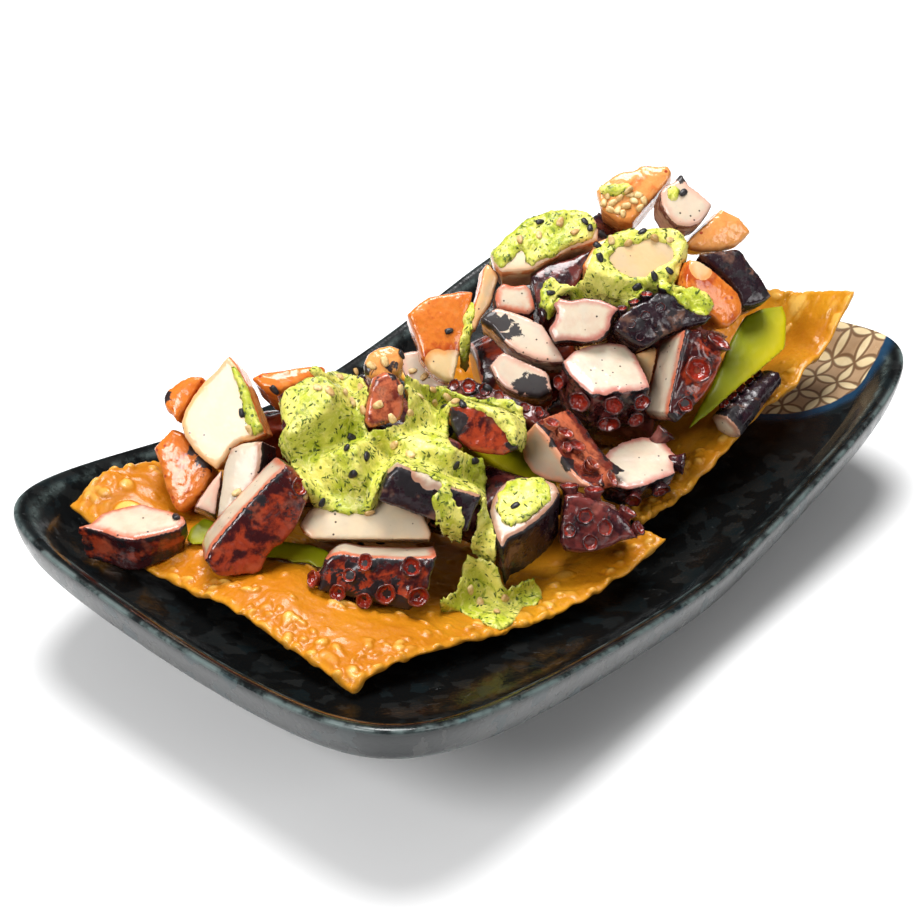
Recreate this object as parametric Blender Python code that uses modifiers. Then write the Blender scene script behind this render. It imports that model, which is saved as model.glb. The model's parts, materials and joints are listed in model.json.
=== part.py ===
"""Octopus tostada: two square fried sheets heaped with charred octopus, avocado and green herb
sauce, on a black rectangular stoneware plate whose ends sweep up. Metres, +Z up, table at z = 0,
plate centred on the origin with its long side along X."""

import math
import random

import bmesh
import bpy
import numpy as np
from mathutils import Matrix, Vector, noise
from mathutils.bvhtree import BVHTree

MM = 0.001
GAP = 0.35 * MM

# Plate: outline, sweep and section
PLATE_LENGTH = 220 * MM
PLATE_WIDTH = 140 * MM
OUTLINE_POWER = 7.0
RIM_MIDDLE = 15 * MM
END_RISE = 21.2 * MM
END_POWER = 1.5
SIDE_RISE = 8.6 * MM
EDGE_DEPTH = 9.5 * MM
FLOOR_DROP = 6 * MM
FOOT_LENGTH = 122 * MM
FOOT_WIDTH = 70 * MM
FOOT_RING = 6 * MM
FOOT_RECESS = 2 * MM
FOOT_POWER = 4.0
PLATE_POINTS = 48

# Fried sheets
SHEET_THICKNESS = 1.5 * MM
SHEET_CELLS = 15

# Octopus
BODY_SIDES = 12
BODY_STATIONS = 3
CUP_SIDES = 7
CUP_SINK = 0.35
CHUNK_EDGE = 0.6 * MM
CHUNK_NARROWING = 0.94
UNEVENNESS = 0.16
END_SLANT = 0.28

# Sauce
SAUCE_CELL = 3.3 * MM
SAUCE_EDGE = 0.9 * MM
SAUCE_GAP = 0.5 * MM
SAUCE_SLOPE = 1.1
POUR_TILT = math.radians(30)
SEED_LENGTH = 3.6 * MM
SEED_WIDTH = 2.2 * MM
SEED_HEIGHT = 1.3 * MM

# The arrangement is given as seen from the near corner of the plate: right, up and towards
VIEW_TURN = math.radians(49.4)
VIEW_RISE = math.radians(32.15)
TOWARDS = Vector((
    -math.sin(VIEW_TURN) * math.cos(VIEW_RISE),
    -math.cos(VIEW_TURN) * math.cos(VIEW_RISE),
    math.sin(VIEW_RISE),
))
RIGHT = Vector((math.cos(VIEW_TURN), -math.sin(VIEW_TURN), 0.0))
UP = TOWARDS.cross(RIGHT)
EYE_DISTANCE = 427.2 * MM
EYE = Vector((9.49, 19.43, 15)) * MM + TOWARDS * EYE_DISTANCE
PICTURE_MIDDLE = 460
PICTURE_FOCUS = 1562
PICTURE_UNIT = EYE_DISTANCE / PICTURE_FOCUS
POUR_AREA = ((-62, -52), (62, 86))
SAUCE_SHOULDER = 3.2 * MM
SEED_MARGIN = 1.6 * MM
SAUCE_REACH = 8 * MM

COLOURS = {
    "stoneware": ((0.012, 0.014, 0.015), 0.22),
    "fried sheet": ((0.78, 0.40, 0.09), 0.42),
    "octopus red": ((0.30, 0.07, 0.06), 0.35),
    "octopus dark": ((0.06, 0.035, 0.05), 0.35),
    "octopus orange": ((0.85, 0.42, 0.22), 0.4),
    "octopus pale": ((0.90, 0.78, 0.66), 0.4),
    "avocado": ((0.55, 0.60, 0.04), 0.35),
    "herb sauce": ((0.55, 0.66, 0.16), 0.4),
}


def clear_scene():
    for old in list(bpy.data.objects):
        bpy.data.objects.remove(old)


def material(name):
    found = bpy.data.materials.get(name)
    if found:
        return found
    colour, roughness = COLOURS[name]
    made = bpy.data.materials.new(name)
    made.use_nodes = True
    shader = made.node_tree.nodes["Principled BSDF"]
    shader.inputs["Base Color"].default_value = (*colour, 1.0)
    shader.inputs["Roughness"].default_value = roughness
    shader.inputs["Metallic"].default_value = 0.0
    return made


def seen(direction):
    """A direction given as right, up, towards, in world axes."""
    right, up, towards = direction
    return (RIGHT * right + UP * up + TOWARDS * towards).normalized()


def sight(x, y):
    """The way from the eye through a point of the picture, one unit deep."""
    across = RIGHT * (x - PICTURE_MIDDLE) + UP * (PICTURE_MIDDLE - y)
    return across / PICTURE_FOCUS - TOWARDS


def on_plane(spot, point, normal):
    """Where the sight line through a point of the picture meets a plane."""
    way = sight(*spot)
    return EYE + way * ((point - EYE).dot(normal) / way.dot(normal))


def mesh_object(name, bm, finish, collection):
    bmesh.ops.recalc_face_normals(bm, faces=bm.faces)
    if bm.calc_volume(signed=True) < 0 and all(e.is_manifold for e in bm.edges):
        bmesh.ops.reverse_faces(bm, faces=bm.faces)
    mesh = bpy.data.meshes.new(name)
    bm.to_mesh(mesh)
    bm.free()
    made = bpy.data.objects.new(name, mesh)
    made.data.materials.append(material(finish))
    collection.objects.link(made)
    return made


def finished_mesh(obj):
    """The object's mesh as its modifiers leave it, in world space, as a new bmesh."""
    graph = bpy.context.evaluated_depsgraph_get()
    evaluated = obj.evaluated_get(graph)
    bm = bmesh.new()
    bm.from_mesh(evaluated.to_mesh())
    bm.transform(obj.matrix_world)
    evaluated.to_mesh_clear()
    return bm


# Plate


def superellipse(half_x, half_y, power, count):
    """Evenly spaced points round a rounded rectangle with slightly bowed sides."""
    steps = 1440
    dense = []
    for i in range(steps):
        angle = 2 * math.pi * i / steps
        c, s = math.cos(angle), math.sin(angle)
        dense.append((
            half_x * math.copysign(abs(c) ** (2 / power), c),
            half_y * math.copysign(abs(s) ** (2 / power), s),
        ))
    dense = np.array(dense + dense[:1])
    run = np.concatenate([[0], np.cumsum(np.linalg.norm(np.diff(dense, axis=0), axis=1))])
    at = np.linspace(0, run[-1], count, endpoint=False)
    return np.stack([np.interp(at, run, dense[:, 0]), np.interp(at, run, dense[:, 1])], 1)


def rim_height(x, y):
    end = abs(2 * x / PLATE_LENGTH) ** END_POWER
    side = (2 * y / PLATE_WIDTH) ** 2
    return RIM_MIDDLE + END_RISE * end + SIDE_RISE * side


def plate_ring(bm, inset, drop):
    """One ring of the plate's section, inset from the rim's outline and below its height."""
    ring = superellipse(
        PLATE_LENGTH / 2 - inset, PLATE_WIDTH / 2 - inset, OUTLINE_POWER, PLATE_POINTS
    )
    return [bm.verts.new((x, y, rim_height(x, y) - drop)) for x, y in ring]


def foot_ring(bm, grow, height):
    """One ring of the foot at a fixed height, or under the body where height is None."""
    ring = superellipse(
        FOOT_LENGTH / 2 + grow, FOOT_WIDTH / 2 + grow, FOOT_POWER, PLATE_POINTS
    )
    body = EDGE_DEPTH - 0.5 * MM
    return [
        bm.verts.new((x, y, rim_height(x, y) - body if height is None else height))
        for x, y in ring
    ]


def bridge(bm, lower, upper):
    count = len(lower)
    for i in range(count):
        j = (i + 1) % count
        bm.faces.new((lower[i], lower[j], upper[j], upper[i]))


def fan(bm, ring, centre):
    middle = bm.verts.new(centre)
    for i in range(len(ring)):
        bm.faces.new((ring[i], ring[(i + 1) % len(ring)], middle))


def floor_ring(bm, share):
    """A ring of the floor, shrunk towards the middle."""
    crease = 10 * MM
    ring = superellipse(
        (PLATE_LENGTH / 2 - crease) * share,
        (PLATE_WIDTH / 2 - crease) * share,
        OUTLINE_POWER,
        PLATE_POINTS,
    )
    return [bm.verts.new((x, y, rim_height(x, y) - FLOOR_DROP)) for x, y in ring]


def make_plate(collection):
    bm = bmesh.new()
    rings = [
        foot_ring(bm, -FOOT_RING, FOOT_RECESS),
        foot_ring(bm, -FOOT_RING, 0),
        foot_ring(bm, 0, 0),
        foot_ring(bm, 1 * MM, None),
        plate_ring(bm, 16 * MM, EDGE_DEPTH + 0.5 * MM),
        plate_ring(bm, 3.2 * MM, EDGE_DEPTH),
        plate_ring(bm, 1.4 * MM, EDGE_DEPTH - 1.4 * MM),
        plate_ring(bm, 0.2 * MM, 2.4 * MM),
        plate_ring(bm, 0.4 * MM, 0.6 * MM),
        plate_ring(bm, 1.6 * MM, 0),
        plate_ring(bm, 3.4 * MM, 0.4 * MM),
        plate_ring(bm, 6.5 * MM, 3 * MM),
        plate_ring(bm, 8.2 * MM, 4.9 * MM),
    ]
    rings += [floor_ring(bm, share) for share in (1.0, 0.85, 0.68, 0.5, 0.3)]
    for lower, upper in zip(rings, rings[1:]):
        bridge(bm, lower, upper)
    fan(bm, rings[-1], (0, 0, RIM_MIDDLE - FLOOR_DROP))
    fan(bm, rings[0], (0, 0, FOOT_RECESS))
    return mesh_object("plate", bm, "stoneware", collection)


# Fried sheets


def smooth_through(stops, share):
    """A smooth height along an edge, through (share, millimetres) stops."""
    places = [s[0] for s in stops]
    heights = [s[1] for s in stops]
    k = max(0, min(len(stops) - 2, sum(1 for p in places[1:] if share > p)))
    t = (share - places[k]) / (places[k + 1] - places[k])
    before = heights[max(k - 1, 0)]
    after = heights[min(k + 2, len(stops) - 1)]
    a, b = heights[k], heights[k + 1]
    value = 0.5 * (
        2 * a + (b - before) * t
        + (2 * before - 5 * a + 4 * b - after) * t * t
        + (3 * a - before - 3 * b + after) * t ** 3
    )
    return value * MM


def sheet_point(plan, edges, sag, u, v):
    """A point of a fried sheet: a patch spanned by the heights of its four edges, sagging inside."""
    near_left, near_right, far_right, far_left = [Vector(p) * MM for p in plan]
    flat = (
        near_left * (1 - u) * (1 - v) + near_right * u * (1 - v)
        + far_right * u * v + far_left * (1 - u) * v
    )
    near, right, far, left = edges
    ends = (
        near[0][1] * (1 - u) * (1 - v) + near[-1][1] * u * (1 - v)
        + far[-1][1] * u * v + far[0][1] * (1 - u) * v
    ) * MM
    height = (
        smooth_through(near, u) * (1 - v) + smooth_through(far, u) * v
        + smooth_through(left, v) * (1 - u) + smooth_through(right, v) * u
        - ends
    )
    inside = 16 * u * (1 - u) * v * (1 - v)
    return Vector((flat.x, flat.y, height - sag * MM * inside))


def blisters(u, v, seed):
    """Relief of the fried surface: low bubbles of several sizes."""
    place = Vector((u * 7, v * 7, seed))
    broad = max(0.0, noise.noise(place) - 0.15)
    fine = max(0.0, noise.noise(place * 2.3 + Vector((5, 3, 0))) - 0.1)
    return (2.6 * broad + 1.2 * fine) * MM


def make_sheet(name, plan, edges, sag, seed, tree, collection):
    """A thin wavy blistered sheet that clears the plate under it."""
    bm = bmesh.new()
    bmesh.ops.create_grid(bm, x_segments=SHEET_CELLS, y_segments=SHEET_CELLS, size=0.5)
    bmesh.ops.triangulate(bm, faces=bm.faces)
    bm.verts.ensure_lookup_table()
    points = []
    for vert in bm.verts:
        u, v = vert.co.x + 0.5, vert.co.y + 0.5
        uneven = noise.noise(Vector((u * 5, v * 5, seed + 9))) * 0.8 * MM
        lift = blisters(u, v, seed)
        points.append(sheet_point(plan, edges, sag, u, v) + Vector((uneven, -uneven, lift)))
    points = np.array(points)
    triangles = [[v.index for v in f.verts] for f in bm.faces]
    half = 0.7 * SHEET_THICKNESS
    heights = rest_on(tree, points[:, :2], triangles, points[:, 2], half + GAP)
    for vert, point, height in zip(bm.verts, points, heights):
        vert.co = (point[0], point[1], height)
    sheet = mesh_object(name, bm, "fried sheet", collection)
    wall = sheet.modifiers.new("Wall", "SOLIDIFY")
    wall.thickness = SHEET_THICKNESS
    wall.offset = 0
    return sheet


FRONT_SHEET = {
    "plan": ((-91, -37, 0), (1, -53, 0), (-1, 42, 0), (-90, 57, 0)),
    "edges": (
        ((0, 29.5), (0.06, 30), (0.18, 30), (0.33, 26.5), (0.5, 22.5), (0.65, 20.8), (0.84, 21.6), (1, 26)),
        ((0, 26), (0.25, 20), (0.6, 18), (1, 24)),
        ((0, 34), (0.11, 39), (0.3, 36), (0.5, 31), (0.75, 24), (1, 24)),
        ((0, 29.5), (0.2, 31), (0.4, 32.5), (0.5, 30.5), (0.65, 29), (0.8, 29.5), (1, 34)),
    ),
    "sag": 1.5,
    "seed": 3.0,
}
BACK_SHEET = {
    "plan": ((6, -43, 0), (94, -48.5, 0), (100, 42, 0), (14, 48, 0)),
    "edges": (
        ((0, 24), (0.19, 23.9), (0.33, 27.4), (0.53, 34.7), (0.68, 36.8), (0.78, 39.4), (0.89, 43.8),
         (1, 55.5)),
        ((0, 55.5), (0.09, 53.3), (0.19, 49), (0.28, 47.5), (0.6, 41), (1, 40)),
        ((0, 30), (0.3, 25), (0.7, 30), (1, 40)),
        ((0, 24), (0.3, 20), (0.7, 22), (1, 30)),
    ),
    "sag": 2.0,
    "seed": 11.0,
}


# Octopus pieces


def section_height(wide, deep, y):
    """Half height of the rounded section at a distance y from its middle."""
    share = min(abs(2 * y / wide), 0.999)
    return deep / 2 * (1 - share ** 2.4) ** (1 / 2.4)


def tentacle_body(long, wide, deep, taper, bend, slant, uneven):
    """A length of tentacle along X: a cylinder brought to a soft squarish, slightly uneven section,
    tapered and bent, with slanting ends."""
    bm = bmesh.new()
    bmesh.ops.create_cone(
        bm, cap_ends=True, segments=BODY_SIDES, radius1=1, radius2=1, depth=long,
        matrix=Matrix.Rotation(math.pi / 2, 4, "Y"),
    )
    for k in range(1, BODY_STATIONS):
        station = Vector((-long / 2 + long * k / BODY_STATIONS, 0, 0))
        bmesh.ops.bisect_plane(
            bm, geom=bm.verts[:] + bm.edges[:] + bm.faces[:], plane_co=station, plane_no=(1, 0, 0)
        )
    for vert in bm.verts:
        x, y, z = vert.co
        reach = max(abs(y) ** 2.4 + abs(z) ** 2.4, 1e-9) ** (1 / 2.4)
        size = 1 - taper * (x / long + 0.5)
        size *= 1 + UNEVENNESS * noise.noise(Vector((x / wide, y, z)) * 1.4 + Vector((uneven, 0, 0)))
        vert.co.y = y / reach * wide / 2 * size
        vert.co.z = z / reach * deep / 2 * size
        vert.co.x += 2 * x / long * (slant[0] * vert.co.y + slant[1] * vert.co.z)
        vert.co.z += bend * (1 - (2 * x / long) ** 2)
    return bm


def cup(radius, height):
    """One sucker: a short flared stub with a dished mouth, base at z = 0."""
    bm = bmesh.new()
    bmesh.ops.create_cone(
        bm, cap_ends=True, segments=CUP_SIDES, radius1=radius * 0.8, radius2=radius, depth=height,
        matrix=Matrix.Translation((0, 0, height / 2)),
    )
    mouth = [f for f in bm.faces if f.normal.z > 0.9]
    bmesh.ops.inset_region(bm, faces=mouth, thickness=radius * 0.34, depth=0)
    for face in mouth:
        for vert in face.verts:
            vert.co.z -= height * 0.42
    return bm


def cup_places(long, wide, deep, taper, bend, rows, radius):
    """Where the suckers stand: one or two rows along the sucker side, smaller towards the tip."""
    pitch = radius * 2.25
    count = max(1, int(long / pitch))
    places = []
    for row in range(rows):
        side = 0 if rows == 1 else (-1, 1)[row]
        for k in range(count):
            x = (k - (count - 1) / 2) * pitch
            size = 1 - taper * (x / long + 0.5)
            y = side * max(wide * 0.235, radius * 1.08) * size
            z = section_height(wide, deep, y / size) * size + bend * (1 - (2 * x / long) ** 2)
            places.append((Vector((x, y, z)), radius * size, side * math.radians(24)))
    return places


def joined_solids(name, solids):
    """One body from overlapping solids, by a Boolean union on a collection."""
    first = solids[0]
    if len(solids) == 1:
        return first
    bodies = bpy.data.collections.new(name + " union")
    for extra in solids[1:]:
        bodies.objects.link(extra)
    union = first.modifiers.new("Union", "BOOLEAN")
    union.operation = "UNION"
    union.operand_type = "COLLECTION"
    union.collection = bodies
    union.solver = "EXACT"
    bpy.context.view_layer.update()
    bm = finished_mesh(first)
    finish = first.data.materials[0]
    for old in solids:
        bpy.data.objects.remove(old)
    bpy.data.collections.remove(bodies)
    mesh = bpy.data.meshes.new(name)
    bm.to_mesh(mesh)
    bm.free()
    whole = bpy.data.objects.new(name, mesh)
    whole.data.materials.append(finish)
    return whole


def keep_below(bm, point, normal):
    """Cuts away what lies beyond a plane and closes the cut."""
    cut = bmesh.ops.bisect_plane(
        bm, geom=bm.verts[:] + bm.edges[:] + bm.faces[:], dist=1e-6,
        plane_co=point, plane_no=normal, clear_outer=True,
    )
    rim = [e for e in cut["geom_cut"] if isinstance(e, bmesh.types.BMEdge) and e.is_valid]
    if rim:
        bmesh.ops.holes_fill(bm, edges=rim, sides=0)
    keep_largest(bm)


def keep_largest(bm):
    """Drops loose scraps that a cut leaves."""
    left = set(bm.verts)
    islands = []
    while left:
        stack = [left.pop()]
        island = set(stack)
        while stack:
            for edge in stack.pop().link_edges:
                for vert in edge.verts:
                    if vert in left:
                        left.discard(vert)
                        island.add(vert)
                        stack.append(vert)
        islands.append(island)
    islands.sort(key=len)
    for scrap in islands[:-1]:
        bmesh.ops.delete(bm, geom=list(scrap), context="VERTS")


def tentacle(name, at, long, wide, deep, axis, suckers, rows=0, cup_radius=2.0, cuts=(), taper=0.0,
             bend=0.0, finish="octopus red"):
    """One piece of octopus. Sizes are in millimetres; axis and suckers are the directions in which
    the tentacle runs and its sucker side faces, and cuts are knife planes beyond its two ends."""
    long, wide, deep, bend = long * MM, wide * MM, deep * MM, bend * MM
    x_axis = seen(axis)
    z_axis = seen(suckers)
    z_axis = (z_axis - x_axis * z_axis.dot(x_axis)).normalized()
    y_axis = z_axis.cross(x_axis)
    place = Matrix.Translation(Vector(at) * MM) @ Matrix((x_axis, y_axis, z_axis)).transposed().to_4x4()
    scene = bpy.context.scene.collection
    chance = random.Random(name)
    slant = [chance.uniform(-END_SLANT, END_SLANT) for _ in range(2)]
    body = tentacle_body(long, wide, deep, taper, bend, slant, chance.uniform(0, 50))
    solids = [mesh_object(name + " body", body, finish, scene)]
    places = cup_places(long, wide, deep, taper, bend, rows, cup_radius * MM)
    for k, (spot, radius, lean) in enumerate(places):
        one = mesh_object(f"{name} cup {k}", cup(radius, radius * 1.1), finish, scene)
        sunk = spot - Vector((0, 0, radius * CUP_SINK))
        one.matrix_world = Matrix.Translation(sunk) @ Matrix.Rotation(-lean, 4, "X")
        solids.append(one)
    bpy.context.view_layer.update()
    whole = joined_solids(name, solids)
    bm = bmesh.new()
    bm.from_mesh(whole.data)
    for end in (1, -1) if rows else ():
        across = Vector((end, -slant[0], -slant[1])).normalized()
        keep_below(bm, Vector((end * (long / 2 - 0.3 * MM), 0, 0)), across)
    bm.transform(place)
    for direction, reach in cuts:
        normal = seen(direction)
        keep_below(bm, Vector(at) * MM + normal * reach * MM, normal)
    bpy.data.objects.remove(whole)
    return name, bm, finish


def face_middle(at, thick, normal, outline):
    """The middle of a chunk's nearest face, half its thickness nearer to the eye than `at`."""
    middle = [sum(values) / len(outline) for values in zip(*outline)]
    away = (EYE - Vector(at) * MM).dot(TOWARDS) - thick / 2 * MM * normal.dot(TOWARDS)
    return EYE + sight(*middle) * away


def turned_left(plan):
    """A flat outline with its points in anticlockwise order."""
    turns = sum(p[0] * q[1] - q[0] * p[1] for p, q in zip(plan, plan[1:] + plan[:1]))
    return plan if turns > 0 else plan[::-1]


def chunk(name, at, thick, faces, outline, cups=(), finish="octopus red"):
    """One chopped piece, cut `thick` deep behind its nearest face. `at` is roughly its middle, `faces` the
    way that face looks, `outline` the face's corners in the picture. Cups are suckers as (picture x,
    picture y, depth behind the face, radius, way it opens), seated on the nearest wall."""
    normal = seen(faces)
    x_axis = (RIGHT - normal * RIGHT.dot(normal)).normalized()
    y_axis = normal.cross(x_axis)
    face = face_middle(at, thick, normal, outline)
    corners = [on_plane(spot, face, normal) - face for spot in outline]
    plan = turned_left([(c.dot(x_axis), c.dot(y_axis)) for c in corners])
    turn = Matrix((x_axis, y_axis, normal)).transposed().to_4x4()
    scene = bpy.context.scene.collection
    bm = bmesh.new()
    near = bm.faces.new([bm.verts.new((x, y, 0)) for x, y in plan])
    grown = bmesh.ops.extrude_face_region(bm, geom=[near])
    far = [g for g in grown["geom"] if isinstance(g, bmesh.types.BMVert)]
    middle = sum((v.co for v in far), Vector()) / len(far)
    for vert in far:
        vert.co = middle + (vert.co - middle) * CHUNK_NARROWING - Vector((0, 0, thick * MM))
    rim = [e for e in bm.edges if max(abs(v.co.z) for v in e.verts) < 1e-6]
    bmesh.ops.bevel(bm, geom=rim, offset=CHUNK_EDGE, segments=1, affect="EDGES")
    bmesh.ops.recalc_face_normals(bm, faces=bm.faces)
    bm.transform(Matrix.Translation(face) @ turn)
    tree = BVHTree.FromBMesh(bm)
    solids = [mesh_object(name + " body", bm, finish, scene)]
    for k, (x, y, back, radius, opens) in enumerate(cups):
        radius *= MM
        way = seen(opens)
        one = mesh_object(f"{name} cup {k}", cup(radius, radius * 1.1), finish, scene)
        seat = tree.find_nearest(on_plane((x, y), face - normal * back * MM, normal))[0]
        sunk = seat - way * radius * CUP_SINK
        one.matrix_world = Matrix.Translation(sunk) @ way.to_track_quat("Z", "X").to_matrix().to_4x4()
        solids.append(one)
    bpy.context.view_layer.update()
    whole = joined_solids(name, solids)
    bm = bmesh.new()
    bm.from_mesh(whole.data)
    bpy.data.objects.remove(whole)
    return name, bm, finish


def overlap_corners(first, second):
    """Corners of the space that two solids share, or nothing."""
    probe = bpy.data.objects.get("overlap probe")
    other = bpy.data.objects.get("overlap other")
    for holder, source in ((probe, first), (other, second)):
        source.to_mesh(holder.data)
        holder.data.update()
    bpy.context.view_layer.update()
    shared = finished_mesh(probe)
    corners = np.array([v.co[:] for v in shared.verts])
    shared.free()
    return corners


def box_of(bm):
    points = np.array([v.co[:] for v in bm.verts])
    return points.min(0), points.max(0)


def centre_of(bm):
    return np.mean([v.co[:] for v in bm.verts], axis=0)


def trim_against(bm, others):
    """Flattens a piece where it presses on pieces already laid, so that they touch face to face."""
    for other in others:
        low, high = box_of(bm)
        other_low, other_high = box_of(other)
        if (low > other_high).any() or (other_low > high).any():
            continue
        corners = overlap_corners(bm, other)
        if len(corners) < 4:
            continue
        middle = corners.mean(0)
        spread = np.linalg.svd(corners - middle, full_matrices=False)[2]
        normal = spread[2]
        if normal @ (centre_of(bm) - middle) < 0:
            normal = -normal
        reach = ((corners - middle) @ normal).max() + GAP
        keep_below(bm, Vector(middle + normal * reach), Vector(-normal))
        if not bm.verts:
            return


# Avocado


def avocado(name, at, long, wide, thick, axis, face):
    """A crescent slice: an outer skin-side arc and a shallower arc on the stone's side."""
    bm = bmesh.new()
    bmesh.ops.create_circle(bm, cap_ends=True, segments=18, radius=1)
    for vert in bm.verts:
        x, y = vert.co.x, vert.co.y
        inner = 0.28 * (1 - x * x)
        vert.co.x = x * long / 2 * MM
        vert.co.y = (y if y > 0 else -inner) * wide / 1.28 * MM
    base = bm.faces[:]
    grown = bmesh.ops.extrude_face_region(bm, geom=base)
    top = [g for g in grown["geom"] if isinstance(g, bmesh.types.BMVert)]
    bmesh.ops.translate(bm, verts=top, vec=(0, 0, thick * MM))
    rims = [e for e in bm.edges if abs(e.verts[0].co.z - e.verts[1].co.z) < 1e-6]
    bmesh.ops.bevel(bm, geom=rims, offset=0.9 * MM, segments=1, affect="EDGES")
    bmesh.ops.translate(bm, verts=bm.verts, vec=(0, -wide * 0.35 * MM, -thick / 2 * MM))
    x_axis = seen(axis)
    z_axis = seen(face)
    z_axis = (z_axis - x_axis * z_axis.dot(x_axis)).normalized()
    turn = Matrix((x_axis, z_axis.cross(x_axis), z_axis)).transposed().to_4x4()
    bm.transform(Matrix.Translation(Vector(at) * MM) @ turn)
    bmesh.ops.recalc_face_normals(bm, faces=bm.faces)
    return name, bm, "avocado"


# Arrangement: pieces that show come first, then those beneath and behind them, each one flattened
# where it presses on the pieces before it


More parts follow.
